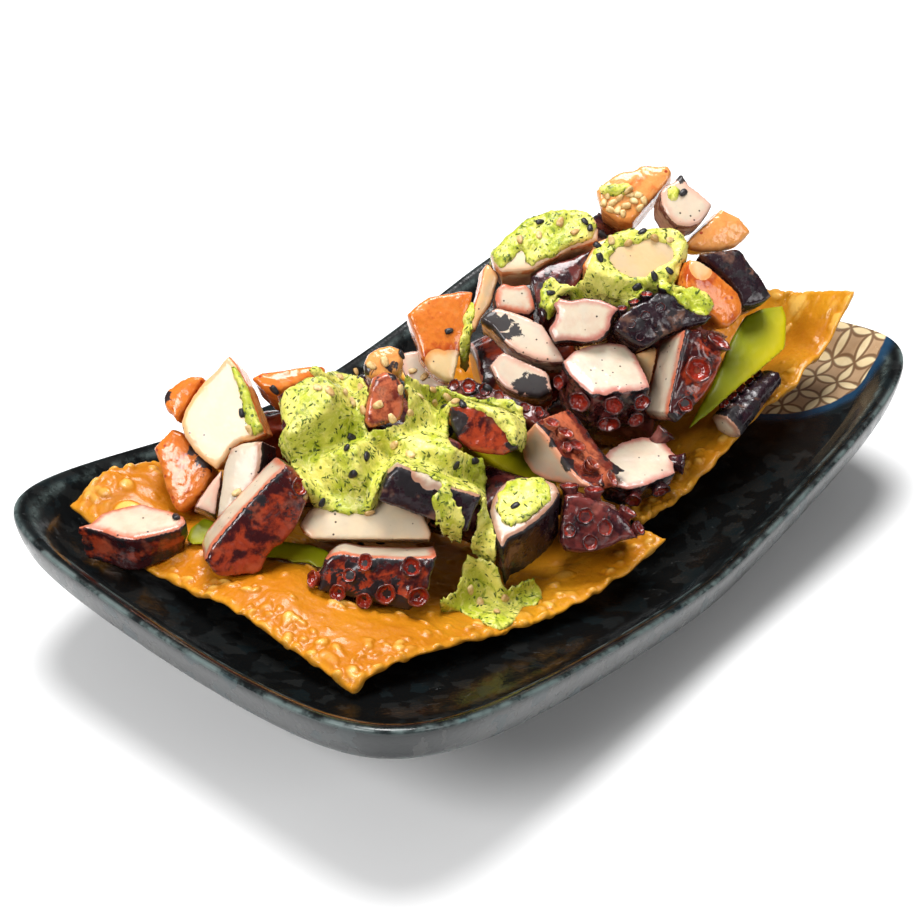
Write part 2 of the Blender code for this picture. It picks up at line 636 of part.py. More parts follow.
def front_pieces():
    return [
        chunk("avocado_front", (-68, 9, 33.5), 6, (0, 0.5, 0.87), (
            (184, 541), (189, 526), (203, 515), (218, 521), (240, 531), (262, 537), (286, 540),
            (310, 544), (328, 549), (335, 560), (331, 573), (322, 585), (300, 586), (276, 583),
            (256, 578), (232, 571), (208, 563), (191, 554)
        ), finish="avocado"),
        chunk("octopus_front_slab", (-89, 34, 35), 11, (0, 0.79, 0.61), (
            (76, 526), (90, 523), (100, 514), (112, 509), (128, 506), (143, 503), (156, 507), (170, 510),
            (184, 516), (187, 522), (180, 529), (165, 533), (150, 537), (134, 540), (118, 538),
            (103, 532), (90, 529)
        )),
        chunk("octopus_front_log", (-74, 10, 40), 13, (0.26, -0.2, 0.94), (
            (286, 464), (294, 468), (301, 478), (306, 490), (308, 500), (302, 515), (294, 531),
            (283, 545), (274, 549), (268, 557), (262, 570), (250, 582), (240, 586), (226, 582),
            (214, 574), (204, 561), (210, 546), (228, 524), (246, 505), (260, 490), (274, 475)
        ), cups=(
            (297, 488, 0, 2, (0.5, 0.15, 0.85)),
        )),
        chunk("octopus_front_block", (-62, -18, 33), 12, (0, -0.17, 0.98), (
            (340, 552), (358, 556), (380, 557), (402, 558), (420, 558), (437, 556), (434, 567),
            (431, 577), (430, 588), (424, 600), (414, 607), (408, 613), (400, 610), (380, 605),
            (360, 606), (342, 609), (328, 610), (318, 602), (316, 588), (316, 574), (324, 560), (332, 554)
        ), cups=(
            (366, 563, 0, 1.9, (-0.1, 0.2, 0.97)), (411, 567, 0, 2.2, (0.1, 0.1, 0.97)),
            (351, 575, 0, 1.6, (-0.3, 0, 0.95)), (340, 591, 0, 2, (-0.3, -0.2, 0.93)),
            (416, 594, 0, 2.5, (0.3, -0.3, 0.9)), (386, 592, 0, 2.3, (0, -0.2, 0.97)),
            (322, 579, 2, 1.9, (-0.8, 0, 0.6)), (365, 598, 0, 1.9, (-0.1, -0.4, 0.9))
        )),
        chunk("octopus_sauced_slice", (-28, -32, 36), 14, (-0.05, 0.7, 0.71), (
            (491, 500), (498, 488), (508, 479), (525, 476), (542, 477), (556, 483), (560, 492),
            (553, 505), (540, 518), (524, 530), (508, 538), (502, 548), (496, 538), (492, 525), (489, 512)
        ), finish="octopus dark"),
        chunk("octopus_sucker_chunk", (-12.5, -39.5, 33), 13, (0.05, -0.05, 1), (
            (562, 496), (575, 492), (592, 496), (606, 502), (618, 510), (628, 518), (636, 528),
            (638, 538), (622, 541), (610, 548), (596, 552), (580, 554), (565, 552), (560, 543),
            (552, 530), (555, 514)
        ), cups=(
            (571, 495, 3, 2.3, (-0.15, 0.95, 0.25)), (592, 499, 3, 2.4, (0.1, 0.92, 0.35)),
            (609, 507, 3, 2.3, (0.35, 0.85, 0.35)), (623, 518, 3, 2.2, (0.5, 0.75, 0.4)),
            (634, 531, 3, 2, (0.75, 0.5, 0.4)), (585, 517, 0, 2, (0, 0.2, 0.97)),
            (604, 528, 0, 2, (0.1, 0.1, 0.98)), (570, 530, 0, 1.7, (-0.2, 0, 0.97)),
            (590, 541, 0, 1.9, (0, -0.2, 0.97))
        )),
        chunk("octopus_pink_chunk", (-3, -26, 40.5), 16, (-0.55, -0.25, 0.8), (
            (520, 448), (525, 433), (535, 421), (546, 432), (557, 448), (568, 464), (582, 479),
            (598, 490), (580, 487), (560, 484), (545, 481), (532, 474), (523, 461)
        ), cups=(
            (553, 424, 3, 1.9, (0.3, 0.8, 0.5)), (570, 432, 5, 2.1, (0.35, 0.75, 0.55)),
            (587, 440, 6, 2.1, (0.45, 0.7, 0.55)), (601, 453, 6, 2.2, (0.6, 0.6, 0.5)),
            (612, 470, 6, 2.2, (0.75, 0.35, 0.5)), (566, 448, 3, 1.4, (0.4, 0.4, 0.8)),
            (590, 462, 5, 1.6, (0.5, 0.3, 0.8))
        )),
        chunk("octopus_white_slice", (14, -36, 34), 9, (0.1, 0.55, 0.83), (
            (602, 453), (611, 441), (624, 432), (645, 427), (663, 430), (671, 440), (677, 450),
            (680, 462), (676, 472), (660, 478), (645, 485), (628, 488), (610, 483), (600, 470)
        ), cups=(
            (678, 463, 3, 2.6, (0.95, -0.1, 0.3)), (668, 434, 3, 2.6, (0.7, 0.7, 0.3)),
            (657, 484, 4, 2.4, (0.4, -0.8, 0.5)), (632, 491, 4, 2.3, (-0.1, -0.85, 0.5))
        )),
        chunk("octopus_big", (19, -20, 47), 14, (0.08, 0.62, 0.78), (
            (562, 361), (574, 350), (590, 344), (608, 341), (626, 344), (637, 355), (644, 371),
            (651, 387), (640, 393), (622, 393), (606, 398), (592, 396), (580, 386), (568, 374)
        ), cups=(
            (614, 404, 3, 2.5, (0, -0.45, 0.9)), (641, 401, 3, 2.2, (0.3, -0.5, 0.8)),
            (587, 395, 4, 2.7, (-0.35, -0.4, 0.85)), (612, 424, 9, 2.9, (0, -0.75, 0.65)),
            (571, 380, 5, 2, (-0.8, -0.2, 0.5)), (640, 422, 9, 2.3, (0.3, -0.7, 0.6))
        )),
        chunk("octopus_long_wedge", (-56, -7, 39), 9, (0, 0.35, 0.93), (
            (298, 524), (310, 507), (330, 498), (360, 494), (400, 500), (424, 514), (432, 532),
            (429, 549), (410, 553), (385, 549), (360, 547), (342, 554), (326, 552), (308, 540)
        ), finish="octopus pale"),
        chunk("octopus_black_block", (-45, -19, 45), 12, (0.08, -0.2, 0.97), (
            (398, 464), (387, 474), (381, 486), (378, 498), (375, 503), (386, 510), (402, 514),
            (416, 519), (430, 526), (445, 532), (458, 536), (467, 537), (471, 524), (476, 510),
            (482, 497), (468, 492), (452, 487), (440, 480), (425, 474), (410, 469)
        ), finish="octopus dark"),
        chunk("octopus_pale_stick", (-67, 24, 44), 9, (-0.3, 0.1, 0.95), (
            (230, 448), (242, 443), (256, 441), (262, 441), (262, 458), (259, 475), (254, 488),
            (245, 502), (233, 514), (223, 522), (216, 518), (218, 500), (221, 484), (223, 466)
        ), finish="octopus dark"),
        chunk("octopus_pink_sliver", (-74, 26, 40), 6, (0.2, 0.2, 0.96), (
            (193, 509), (200, 497), (210, 483), (222, 468), (225, 485), (222, 505), (218, 522),
            (209, 524), (201, 516)
        ), finish="octopus pale"),
        chunk("octopus_cream_top", (-60, 34, 54), 8, (-0.22, 0.1, 0.97), (
            (228, 355), (237, 366), (246, 384), (252, 400), (260, 420), (265, 434), (254, 440),
            (240, 443), (232, 449), (226, 460), (216, 471), (205, 462), (192, 450), (184, 438),
            (180, 424), (184, 410), (192, 396), (202, 382), (214, 371)
        ), finish="octopus pale"),
        chunk("octopus_orange_wedge", (-68, 39, 42), 8, (-0.15, 0.1, 0.98), (
            (172, 428), (162, 438), (153, 448), (157, 458), (161, 470), (165, 484), (170, 500),
            (176, 512), (184, 512), (194, 504), (204, 492), (213, 476), (210, 464), (200, 454),
            (190, 444), (182, 432)
        ), finish="octopus orange"),
        chunk("octopus_orange_back", (-64, 46, 54), 9, (-0.2, 0.25, 0.95), (
            (202, 376), (190, 376), (181, 380), (173, 386), (167, 389), (163, 397), (163, 404),
            (166, 411), (172, 415), (177, 422), (188, 416), (198, 402), (206, 388)
        ), finish="octopus orange"),
        chunk("octopus_orange_bar", (-46, 31, 58), 10, (0, 0.45, 0.89), (
            (247, 380), (262, 372), (280, 370), (296, 367), (312, 366), (324, 366), (326, 376),
            (308, 381), (292, 388), (278, 393), (262, 389)
        ), finish="octopus orange"),
        chunk("octopus_salmon_flap", (-36, 5, 63), 7, (0.08, -0.08, 0.99), (
            (373, 378), (384, 372), (395, 374), (402, 384), (404, 398), (403, 412), (400, 421),
            (385, 425), (370, 429), (364, 422), (366, 405), (369, 390)
        ), finish="octopus orange"),
        chunk("octopus_top_bit", (-34, 21, 62), 9, (0, 0.25, 0.97), (
            (363, 364), (368, 353), (379, 347), (391, 345), (400, 349), (403, 360), (398, 372),
            (386, 378), (373, 379), (364, 374)
        ), finish="octopus orange"),
        chunk("octopus_brown_face", (-20, -12, 50), 12, (-0.12, -0.1, 0.98), (
            (448, 404), (462, 405), (480, 408), (496, 412), (512, 420), (518, 434), (517, 450),
            (503, 456), (486, 454), (470, 451), (458, 441), (450, 425)
        )),
        chunk("octopus_sucker_strip", (-4, -5, 46), 10, (0.05, 0.5, 0.86), (
            (445, 389), (451, 381), (462, 379), (476, 381), (491, 387), (506, 394), (526, 402),
            (545, 408), (557, 418), (560, 432), (546, 432), (526, 421), (505, 409), (485, 401),
            (465, 397), (452, 395)
        ), cups=(
            (455, 386, 0, 1.5, (-0.2, 0.2, 0.95)), (469, 388, 0, 2, (0, 0.25, 0.97)),
            (484, 391, 0, 1.7, (0.1, 0.3, 0.95)), (498, 397, 0, 1.4, (0.2, 0.35, 0.92)),
            (524, 409, 0, 1.4, (0.2, 0.5, 0.85)), (538, 414, 0, 1.5, (0.3, 0.5, 0.85)),
            (551, 422, 0, 1.5, (0.4, 0.5, 0.8))
        )),
        chunk("octopus_sauced_left", (-51, 14, 56), 13, (-0.25, 0.3, 0.92), (
            (277, 396), (288, 388), (304, 381), (320, 376), (334, 384), (334, 405), (322, 420),
            (304, 434), (288, 444), (280, 428), (282, 411)
        )),
    ]


def back_pieces():
    return [
        chunk("octopus_arm_slice", (25.5, -10, 63), 9, (-0.2, 0.1, 0.97), (
            (552, 304), (558, 297), (570, 300), (585, 297), (600, 299), (613, 304), (620, 308),
            (613, 317), (611, 327), (605, 336), (596, 342), (583, 343), (570, 341), (560, 341),
            (554, 343), (549, 334), (548, 329), (554, 320), (556, 311)
        )),
        chunk("octopus_tentacle", (36, -22, 62), 11, (0.15, 0.1, 0.98), (
            (611, 322), (620, 313), (632, 306), (645, 299), (656, 292), (665, 289), (675, 295),
            (685, 304), (692, 311), (704, 312), (714, 316), (706, 324), (690, 327), (676, 330),
            (662, 338), (650, 346), (637, 350), (625, 344), (616, 335)
        ), cups=(
            (624, 315, 2, 1.5, (-0.2, 0.85, 0.5)), (636, 308, 2, 1.5, (-0.2, 0.85, 0.5)),
            (648, 301, 2, 1.7, (-0.1, 0.85, 0.5)), (663, 293, 2, 1.9, (0, 0.85, 0.5)),
            (679, 303, 0, 1.7, (0.3, 0.4, 0.85)), (632, 325, 0, 1.2, (-0.2, 0.2, 0.95)),
            (645, 317, 0, 1.4, (0, 0.3, 0.95)), (660, 309, 0, 1.4, (0, 0.3, 0.95)),
            (640, 337, 0, 1.1, (-0.1, -0.1, 0.98)), (655, 328, 0, 1.2, (0, 0, 1))
        )),
        chunk("octopus_large_suckers", (36, -35, 50), 13, (0.36, 0, 0.93), (
            (684, 334), (692, 325), (702, 330), (712, 344), (723, 360), (717, 374), (709, 390),
            (700, 401), (688, 413), (677, 423), (667, 413), (670, 398), (673, 384), (677, 365), (680, 350)
        ), cups=(
            (692, 334, 2, 2.3, (0, 0.9, 0.42)), (711, 349, 1, 3.3, (0.55, 0.62, 0.56)),
            (696, 371, 0, 3.5, (0.1, 0.08, 0.99)), (685, 403, 0, 1.9, (0, -0.35, 0.9))
        )),
        tentacle("octopus_tip", (50.7, -43.9, 39.2), 21, 10, 8, (0.64, 0.62, -0.45), (-0.6, 0.6, 0.5),
                 rows=1, cup_radius=1.6, taper=0.3, finish="octopus dark"),
        chunk("avocado_back", (50, -36, 46), 7, (0.1, 0.45, 0.89), (
            (682, 449), (685, 434), (697, 412), (712, 386), (724, 358), (734, 333), (746, 315),
            (762, 307), (784, 303), (788, 318), (787, 342), (784, 365), (775, 377), (760, 388),
            (742, 400), (724, 414), (708, 430), (695, 445)
        ), finish="avocado"),
        chunk("octopus_small_slice", (22, 12, 62), 7, (0.1, 0.25, 0.96), (
            (494, 298), (496, 288), (503, 282), (514, 285), (526, 283), (532, 289), (534, 299),
            (536, 309), (530, 315), (518, 314), (506, 311), (496, 308)
        )),
        chunk("octopus_charred_stick", (16, 3, 56), 9, (0, 0.3, 0.95), (
            (480, 319), (487, 311), (497, 307), (512, 311), (528, 317), (543, 324), (555, 332),
            (561, 343), (574, 352), (569, 362), (552, 363), (536, 360), (520, 354), (508, 346),
            (500, 338), (492, 327)
        ), finish="octopus pale"),
        chunk("octopus_white_black", (11, 0, 47), 10, (-0.1, 0.2, 0.97), (
            (489, 366), (498, 355), (507, 348), (521, 354), (538, 361), (549, 374), (553, 391),
            (540, 397), (520, 395), (505, 389), (495, 379)
        ), finish="octopus pale"),
        chunk("octopus_pale_fin", (15, 18, 56), 6, (0.2, 0.05, 0.98), (
            (488, 263), (495, 270), (500, 277), (499, 285), (495, 298), (489, 308), (482, 318),
            (476, 331), (468, 336), (471, 316), (478, 296), (482, 279), (484, 269)
        ), finish="octopus pale"),
        chunk("octopus_pale_base", (10, 30, 40), 8, (-0.1, 0.3, 0.95), (
            (398, 354), (410, 350), (421, 350), (429, 362), (440, 376), (452, 387), (440, 392),
            (424, 391), (411, 386), (404, 374)
        ), finish="octopus pale"),
        chunk("octopus_orange_slab", (9, 24, 52), 9, (0.12, 0.12, 0.98), (
            (407, 314), (418, 304), (430, 296), (450, 293), (462, 290), (476, 291), (484, 305),
            (486, 320), (495, 333), (492, 347), (486, 362), (478, 379), (460, 384), (445, 381),
            (430, 372), (421, 358), (418, 345), (412, 330)
        ), finish="octopus orange"),
        chunk("octopus_sauced_arc", (37, 13, 72), 10, (0, 0.35, 0.94), (
            (490, 255), (498, 246), (506, 236), (516, 227), (526, 220), (541, 214), (558, 210),
            (575, 209), (589, 212), (597, 220), (599, 230), (598, 240), (588, 244), (574, 248),
            (560, 255), (546, 262), (532, 270), (515, 272), (501, 273), (494, 264)
        ), finish="octopus pale"),
        chunk("octopus_cream_corner", (60, -8, 80), 10, (0.1, 0.2, 0.97), (
            (660, 192), (665, 185), (675, 181), (682, 173), (689, 185), (700, 192), (713, 204),
            (709, 213), (701, 223), (690, 227), (677, 226), (667, 216), (661, 205)
        ), finish="octopus pale"),
        chunk("octopus_top", (62, 1, 80), 11, (-0.1, 0.2, 0.97), (
            (596, 190), (604, 182), (613, 175), (622, 171), (634, 170), (641, 165), (650, 165),
            (658, 166), (668, 165), (672, 171), (671, 181), (668, 192), (661, 202), (650, 207),
            (640, 214), (631, 222), (619, 222), (609, 215), (601, 209), (598, 199)
        ), finish="octopus orange"),
        chunk("octopus_orange_corner", (66, -17, 73), 9, (0.2, 0, 0.98), (
            (711, 205), (725, 210), (740, 218), (752, 232), (745, 240), (735, 248), (720, 251),
            (702, 252), (688, 249), (685, 234), (691, 226), (702, 219)
        ), finish="octopus orange"),
        chunk("octopus_purple", (65, -26, 66), 10, (0.2, 0.2, 0.96), (
            (699, 254), (715, 251), (736, 248), (743, 252), (749, 262), (757, 273), (766, 285),
            (772, 296), (765, 303), (752, 307), (741, 307), (738, 295), (730, 283), (720, 273), (711, 265)
        ), finish="octopus dark"),
        chunk("octopus_orange_side", (51, -27, 66), 10, (0.3, 0.05, 0.95), (
            (690, 259), (700, 261), (711, 268), (721, 277), (731, 285), (739, 294), (743, 304),
            (742, 314), (736, 322), (728, 328), (720, 326), (712, 318), (700, 312), (690, 302),
            (684, 288), (684, 272)
        ), finish="octopus orange"),
        chunk("octopus_centre", (44, -10, 72), 12, (0.03, 0.3, 0.95), (
            (598, 241), (613, 234), (629, 229), (642, 232), (656, 230), (669, 228), (681, 232),
            (688, 245), (690, 256), (684, 267), (674, 277), (660, 282), (640, 285), (620, 285),
            (604, 281), (590, 276), (583, 265), (590, 252)
        ), finish="octopus pale"),
        chunk("octopus_small_bit", (38, -27, 50), 8, (-0.1, 0, 0.99), (
            (633, 352), (645, 347), (655, 347), (661, 356), (661, 369), (656, 381), (649, 386),
            (643, 373), (637, 362)
        ), finish="octopus orange"),
        chunk("octopus_dark_mid", (33, 5, 62), 12, (0, 0.3, 0.95), (
            (526, 279), (545, 265), (570, 258), (592, 249), (598, 262), (592, 280), (572, 292),
            (556, 303), (545, 322), (532, 312), (528, 295)
        ), finish="octopus dark"),
    ]


def hidden_pieces():
    return [
        avocado("avocado_middle", (-4, -8, 34), 30, 14, 7, (0.8, -0.5, 0), (0, 0.7, 0.7)),
        tentacle("octopus_under_left", (-50, 6, 46), 24, 18, 15, (0.8, 0.2, 0.5), (-0.2, 0.9, 0.3)),
        tentacle("octopus_under_mid", (-36, -3, 46), 24, 18, 17, (0.9, -0.3, 0.2), (0.2, 0.9, 0.4)),
        tentacle("octopus_low_right", (-25, -18, 34), 28, 22, 18, (0.9, -0.3, 0.2), (0.2, 0.9, 0.4)),
        tentacle("octopus_behind_left", (-46, 28, 40), 28, 22, 20, (0.9, 0.2, 0.1), (0, 0.6, -0.8)),
        tentacle("octopus_behind_mid", (-24, 16, 39), 28, 22, 22, (0.8, -0.5, 0.1), (0, 0.6, -0.8)),
        tentacle("octopus_under_back", (30, 12, 38), 30, 24, 22, (0.9, 0.3, 0.1), (0, 0.85, 0.5)),
        tentacle("octopus_behind_back", (58, 2, 63), 28, 20, 20, (0.8, -0.5, 0.1), (0, 0.6, -0.8)),
        tentacle("octopus_far_back", (60, -8, 46), 32, 24, 24, (0.8, -0.5, 0), (0, 0.85, 0.5)),
        tentacle("octopus_low_back", (34, -10, 34), 30, 24, 20, (0.9, -0.2, 0.1), (0, 0.85, 0.5)),
        tentacle("octopus_far_low", (48, 12, 48), 26, 22, 20, (0.5, 0.6, 0.3), (0, 0.85, 0.5)),
    ]


# Sauce


def surface_height(tree, x, y):
    hit = tree.ray_cast(Vector((x, y, 0.5)), Vector((0, 0, -1)))
    return hit[0].z if hit[0] else -0.2


SAMPLES = [(i / 7, j / 7) for i in range(8) for j in range(8 - i)]


def rest_on(tree, plan, triangles, heights, gap):
    """Raises the corners of a faceted surface until it clears what lies under every facet."""
    corners = np.array(triangles)
    weights = np.array([(1 - a - b, a, b) for a, b in SAMPLES])
    spots = np.einsum("sk,tkc->tsc", weights, plan[corners])
    under = np.array([[surface_height(tree, x, y) for x, y in row] for row in spots])
    heights = heights.copy()
    for _ in range(60):
        above = np.einsum("sk,tk->ts", weights, heights[corners])
        short = under + gap - above
        if short.max() <= 1e-7:
            break
        lift = (np.maximum(short, 0)[:, :, None] * weights[None] * 1.2).max(1)
        raised = heights[corners] + lift
        np.maximum.at(heights, corners.ravel(), raised.ravel())
    return heights


def tree_of(bodies, turn=Matrix.Identity(3)):
    """One search tree over all the solids given, turned into the frame asked for."""
    points, faces = [], []
    for body in bodies:
        start = len(points)
        body.verts.index_update()
        points += [turn @ v.co for v in body.verts]
        faces += [[start + v.index for v in f.verts] for f in body.faces]
    return BVHTree.FromPolygons(points, faces)


def pictured(point):
    """The point of the picture at which a place is seen."""
    away = point - EYE
    share = -PICTURE_FOCUS / away.dot(TOWARDS)
    return PICTURE_MIDDLE + away.dot(RIGHT) * share, PICTURE_MIDDLE - away.dot(UP) * share


def depth_inside(outline, x, y):
    """How far inside a closed outline of the picture a point of it lies, less than 0 outside."""
    spot = Vector((x, y))
    nearest = math.inf
    inside = False
    for first, second in zip(outline, outline[1:] + outline[:1]):
        start, way = Vector(first), Vector(second) - Vector(first)
        share = min(1.0, max(0.0, (spot - start).dot(way) / way.length_squared))
        nearest = min(nearest, (spot - start - way * share).length)
        if (first[1] > spot.y) != (second[1] > spot.y):
            cross = first[0] + (spot.y - first[1]) * (second[0] - first[0]) / (second[1] - first[1])
            inside ^= spot.x < cross
    return (nearest if inside else -nearest) * PICTURE_UNIT


def covered(turn, outline, bare, x, y, z):
    """How far inside the poured area a place of the tipped frame lies, bare spots left out."""
    seen_x, seen_y = pictured(turn.transposed() @ Vector((x, y, z)))
    depth = depth_inside(outline, seen_x, seen_y)
    return min([depth] + [-depth_inside(spot, seen_x, seen_y) for spot in bare])


def behind(tree, turn, spot):
    """How far a place of the tipped frame lies behind the nearest thing, looking from the eye."""
    way = spot - turn @ EYE
    hit = tree.ray_cast(turn @ EYE, way.normalized())
    return way.length - hit[3] if hit[0] else 0


def sauce_cells(tree, turn, outline, bare):
    """The cells of a plan grid that the poured area covers, in one connected patch."""
    low = np.array(POUR_AREA[0]) * MM
    steps = ((np.array(POUR_AREA[1]) * MM - low) / SAUCE_CELL).astype(int) + 1
    cells = set()
    for i in range(steps[0]):
        for j in range(steps[1]):
            x, y = low + (np.array([i, j]) + 0.5) * SAUCE_CELL
            spot = Vector((x, y, surface_height(tree, x, y)))
            if covered(turn, outline, bare, *spot) > 0 and behind(tree, turn, spot) < SAUCE_REACH:
                cells.add((i, j))
    near_cells = ((1, 0), (-1, 0), (0, 1), (0, -1))
    loose = True
    while loose:
        loose = False
        for i, j in sorted(cells):
            if sum((i + di, j + dj) in cells for di, dj in near_cells) < 2:
                cells.discard((i, j))
                loose = True
                continue
            for di, dj in ((1, 1), (1, -1)):
                only_corner = (i + di, j) not in cells and (i, j + dj) not in cells
                if (i + di, j + dj) in cells and only_corner:
                    cells.add((i + di, j))
                    loose = True
    patches = []
    left = set(cells)
    while left:
        stack = [left.pop()]
        patch = set(stack)
        while stack:
            i, j = stack.pop()
            for near in ((i + di, j + dj) for di, dj in near_cells):
                if near in left:
                    left.discard(near)
                    patch.add(near)
                    stack.append(near)
        patches.append(patch)
    return low, sorted(max(patches, key=len))


def smoothed_rim(plan, rim):
    """Rounds the stepped edge of the covered cells."""
    after = dict(rim)
    before = {b: a for a, b in rim}
    smooth = plan.copy()
    for _ in range(3):
        moved = smooth.copy()
        for a in after:
            moved[a] = 0.5 * smooth[a] + 0.25 * (smooth[after[a]] + smooth[before[a]])
        smooth = moved
    shift = smooth - plan
    far = np.linalg.norm(shift, axis=1, keepdims=True)
    shift *= np.minimum(1, 0.36 * SAUCE_CELL / np.maximum(far, 1e-9))
    return plan + shift, set(after)


def draped(tree, plan):
    """Heights of a thick liquid lying on lumps: no place is much lower than its neighbours."""
    ground = np.array([surface_height(tree, x, y) for x, y in plan])
    apart = np.linalg.norm(plan[:, None] - plan[None], axis=2)
    return (ground[None] - SAUCE_SLOPE * apart).max(1) + SAUCE_GAP


def sauce(name, outline, thick, seeds, laid, collection, bare=()):
    """A blanket of sauce that lies on what is under it, thick in the middle and thin at its edge, in a
    frame tipped towards the near corner. Its outline is drawn as seen from the eye, in millimetres."""
    poured = (Vector((0, 0, 1)) * math.cos(POUR_TILT) + level(TOWARDS) * math.sin(POUR_TILT)).normalized()
    turn = Matrix((RIGHT, poured.cross(RIGHT), poured))
    tree = tree_of(laid, turn)
    low, cells = sauce_cells(tree, turn, outline, bare)
    index = {}
    for i, j in cells:
        for corner in ((i, j), (i + 1, j), (i + 1, j + 1), (i, j + 1)):
            index.setdefault(corner, len(index))
    plan = np.array([low + np.array(c) * SAUCE_CELL for c in index])
    quads = [[index[(i, j)], index[(i + 1, j)], index[(i + 1, j + 1)], index[(i, j + 1)]] for i, j in cells]
    edges = {(a, b) for quad in quads for a, b in zip(quad, quad[1:] + quad[:1])}
    rim = [(a, b) for a, b in sorted(edges) if (b, a) not in edges]
    plan, outer = smoothed_rim(plan, rim)
    triangles = [t for a, b, c, d in quads for t in ((a, b, c), (a, c, d))]
    bottom = rest_on(tree, plan, triangles, draped(tree, plan), SAUCE_GAP)
    top = bottom.copy()
    reach = [covered(turn, outline, bare, x, y, z) for (x, y), z in zip(plan, bottom)]
    for k, (x, y) in enumerate(plan):
        body = min(1.0, max(0.0, reach[k]) / SAUCE_SHOULDER)
        lump = 0.2 + 0.5 * noise.noise(Vector((x * 210, y * 210, 8.0)))
        top[k] += (SAUCE_EDGE if k in outer else SAUCE_EDGE + (thick * MM - SAUCE_EDGE) * body * (1 + lump))
    bm = bmesh.new()
    under = [bm.verts.new((x, y, z)) for (x, y), z in zip(plan, bottom)]
    over = [bm.verts.new((x, y, z)) for (x, y), z in zip(plan, top)]
    for a, b, c in triangles:
        bm.faces.new((over[a], over[b], over[c]))
        bm.faces.new((under[c], under[b], under[a]))
    for a, b in rim:
        bm.faces.new((under[a], under[b], over[b], over[a]))
    bmesh.ops.recalc_face_normals(bm, faces=bm.faces)
    bm.normal_update()
    normals = [vert.normal.copy() for vert in over]
    solids = [mesh_object(name + " blanket", bm, "herb sauce", collection)]
    chance = random.Random(name)
    inner = [k for k in range(len(plan)) if k not in outer and reach[k] > SEED_MARGIN]
    placed = []
    for k in chance.sample(inner, len(inner)):
        spot = Vector((plan[k][0], plan[k][1], top[k]))
        if all((spot - other).length > 5 * MM for other in placed) and len(placed) < seeds:
            placed.append(spot)
            solids.append(seed(f"{name} seed {k}", spot, normals[k], chance.uniform(0, math.pi)))
    whole = joined_solids(name, solids)
    whole.data.transform(turn.transposed().to_4x4())
    whole.name = name
    whole.data.name = name
    if whole.name not in collection.objects:
        collection.objects.link(whole)
    poured_on = bmesh.new()
    poured_on.from_mesh(whole.data)
    laid.append(poured_on)


def level(direction):
    return Vector((direction.x, direction.y, 0)).normalized()


def seed(name, spot, normal, turn):
    """A sesame seed lying half sunk in the sauce."""
    bm = bmesh.new()
    bmesh.ops.create_uvsphere(bm, u_segments=6, v_segments=3, radius=1)
    size = Matrix.Diagonal((SEED_LENGTH / 2, SEED_WIDTH / 2, SEED_HEIGHT / 2, 1))
    lie = normal.to_track_quat("Z", "X").to_matrix().to_4x4()
    bm.transform(Matrix.Translation(spot) @ lie @ Matrix.Rotation(turn, 4, "Z") @ size)
    return mesh_object(name, bm, "herb sauce", bpy.context.scene.collection)


# Outlines of the sauces, and of the bare spots in them, as points of the 920 x 920 picture
FRONT_SAUCE = (
    (276, 402), (285, 391), (300, 383), (308, 376), (322, 374), (336, 372), (352, 374), (366, 380),
    (371, 392), (366, 410), (364, 424), (370, 431), (386, 427), (403, 422), (406, 405), (405, 386),
    (401, 369), (410, 374), (420, 381), (432, 386), (446, 386), (460, 393), (480, 398), (500, 397),
    (514, 401), (523, 407), (526, 420), (527, 435), (523, 445), (514, 449), (507, 441), (500, 430),
    (490, 419), (478, 411), (462, 406), (451, 406), (448, 420), (450, 438), (458, 450), (472, 455),
    (484, 458), (487, 475), (486, 495), (490, 515), (496, 535), (500, 552), (496, 560), (484, 556),
    (474, 548), (466, 539), (455, 535), (446, 532), (438, 525), (430, 518), (405, 514), (378, 508),
    (372, 512), (350, 516), (330, 512), (312, 502), (302, 488), (297, 474), (290, 462), (283, 452),
    (277, 440), (284, 425), (281, 412),
)
PUDDLE = (
    (466, 552), (478, 556), (494, 560), (500, 566), (503, 576), (507, 585), (520, 581), (532, 575),
    (541, 586), (544, 598), (538, 605), (524, 607), (519, 617), (512, 626), (503, 634), (494, 630),
    (478, 620), (462, 615), (448, 608), (438, 606), (436, 598), (446, 594), (456, 587), (460, 574),
    (462, 562),
)
ARC_SAUCE = (
    (489, 254), (500, 243), (510, 233), (522, 223), (534, 216), (550, 211), (568, 209), (584, 210),
    (594, 218), (597, 228), (595, 239), (586, 243), (574, 247), (560, 254), (546, 261), (534, 268),
    (526, 262), (522, 250), (512, 260), (502, 271), (494, 264),
)
BACK_SAUCE = (
    (601, 243), (606, 239), (618, 233), (632, 226), (642, 229), (656, 228), (668, 226), (680, 231),
    (687, 236), (688, 246), (689, 258), (684, 264), (679, 272), (676, 284), (690, 287), (700, 288),
    (710, 293), (716, 303), (713, 313), (704, 317), (694, 314), (684, 308), (676, 299), (668, 292),
    (655, 286), (645, 293), (630, 302), (612, 302), (600, 297), (585, 293), (568, 293), (560, 300),
    (548, 310), (538, 308), (540, 296), (541, 283), (552, 277), (560, 284), (575, 284), (584, 276),
    (588, 262), (593, 250),
)
BLOCK_BARE = (
    (396, 463), (412, 470), (428, 476), (442, 484), (436, 492), (428, 496), (432, 506), (434, 514),
    (430, 526), (405, 517), (388, 513), (374, 506), (378, 492), (382, 478), (388, 470),
)
BLOCK_SIDE_BARE = (
    (452, 488), (482, 496), (477, 512), (470, 538), (461, 538), (466, 522), (463, 508), (453, 500),
)
CENTRE_BARE = (
    (614, 252), (630, 245), (650, 240), (668, 246), (676, 256), (668, 262), (656, 268), (645, 276),
    (630, 276), (616, 268), (610, 260),
)


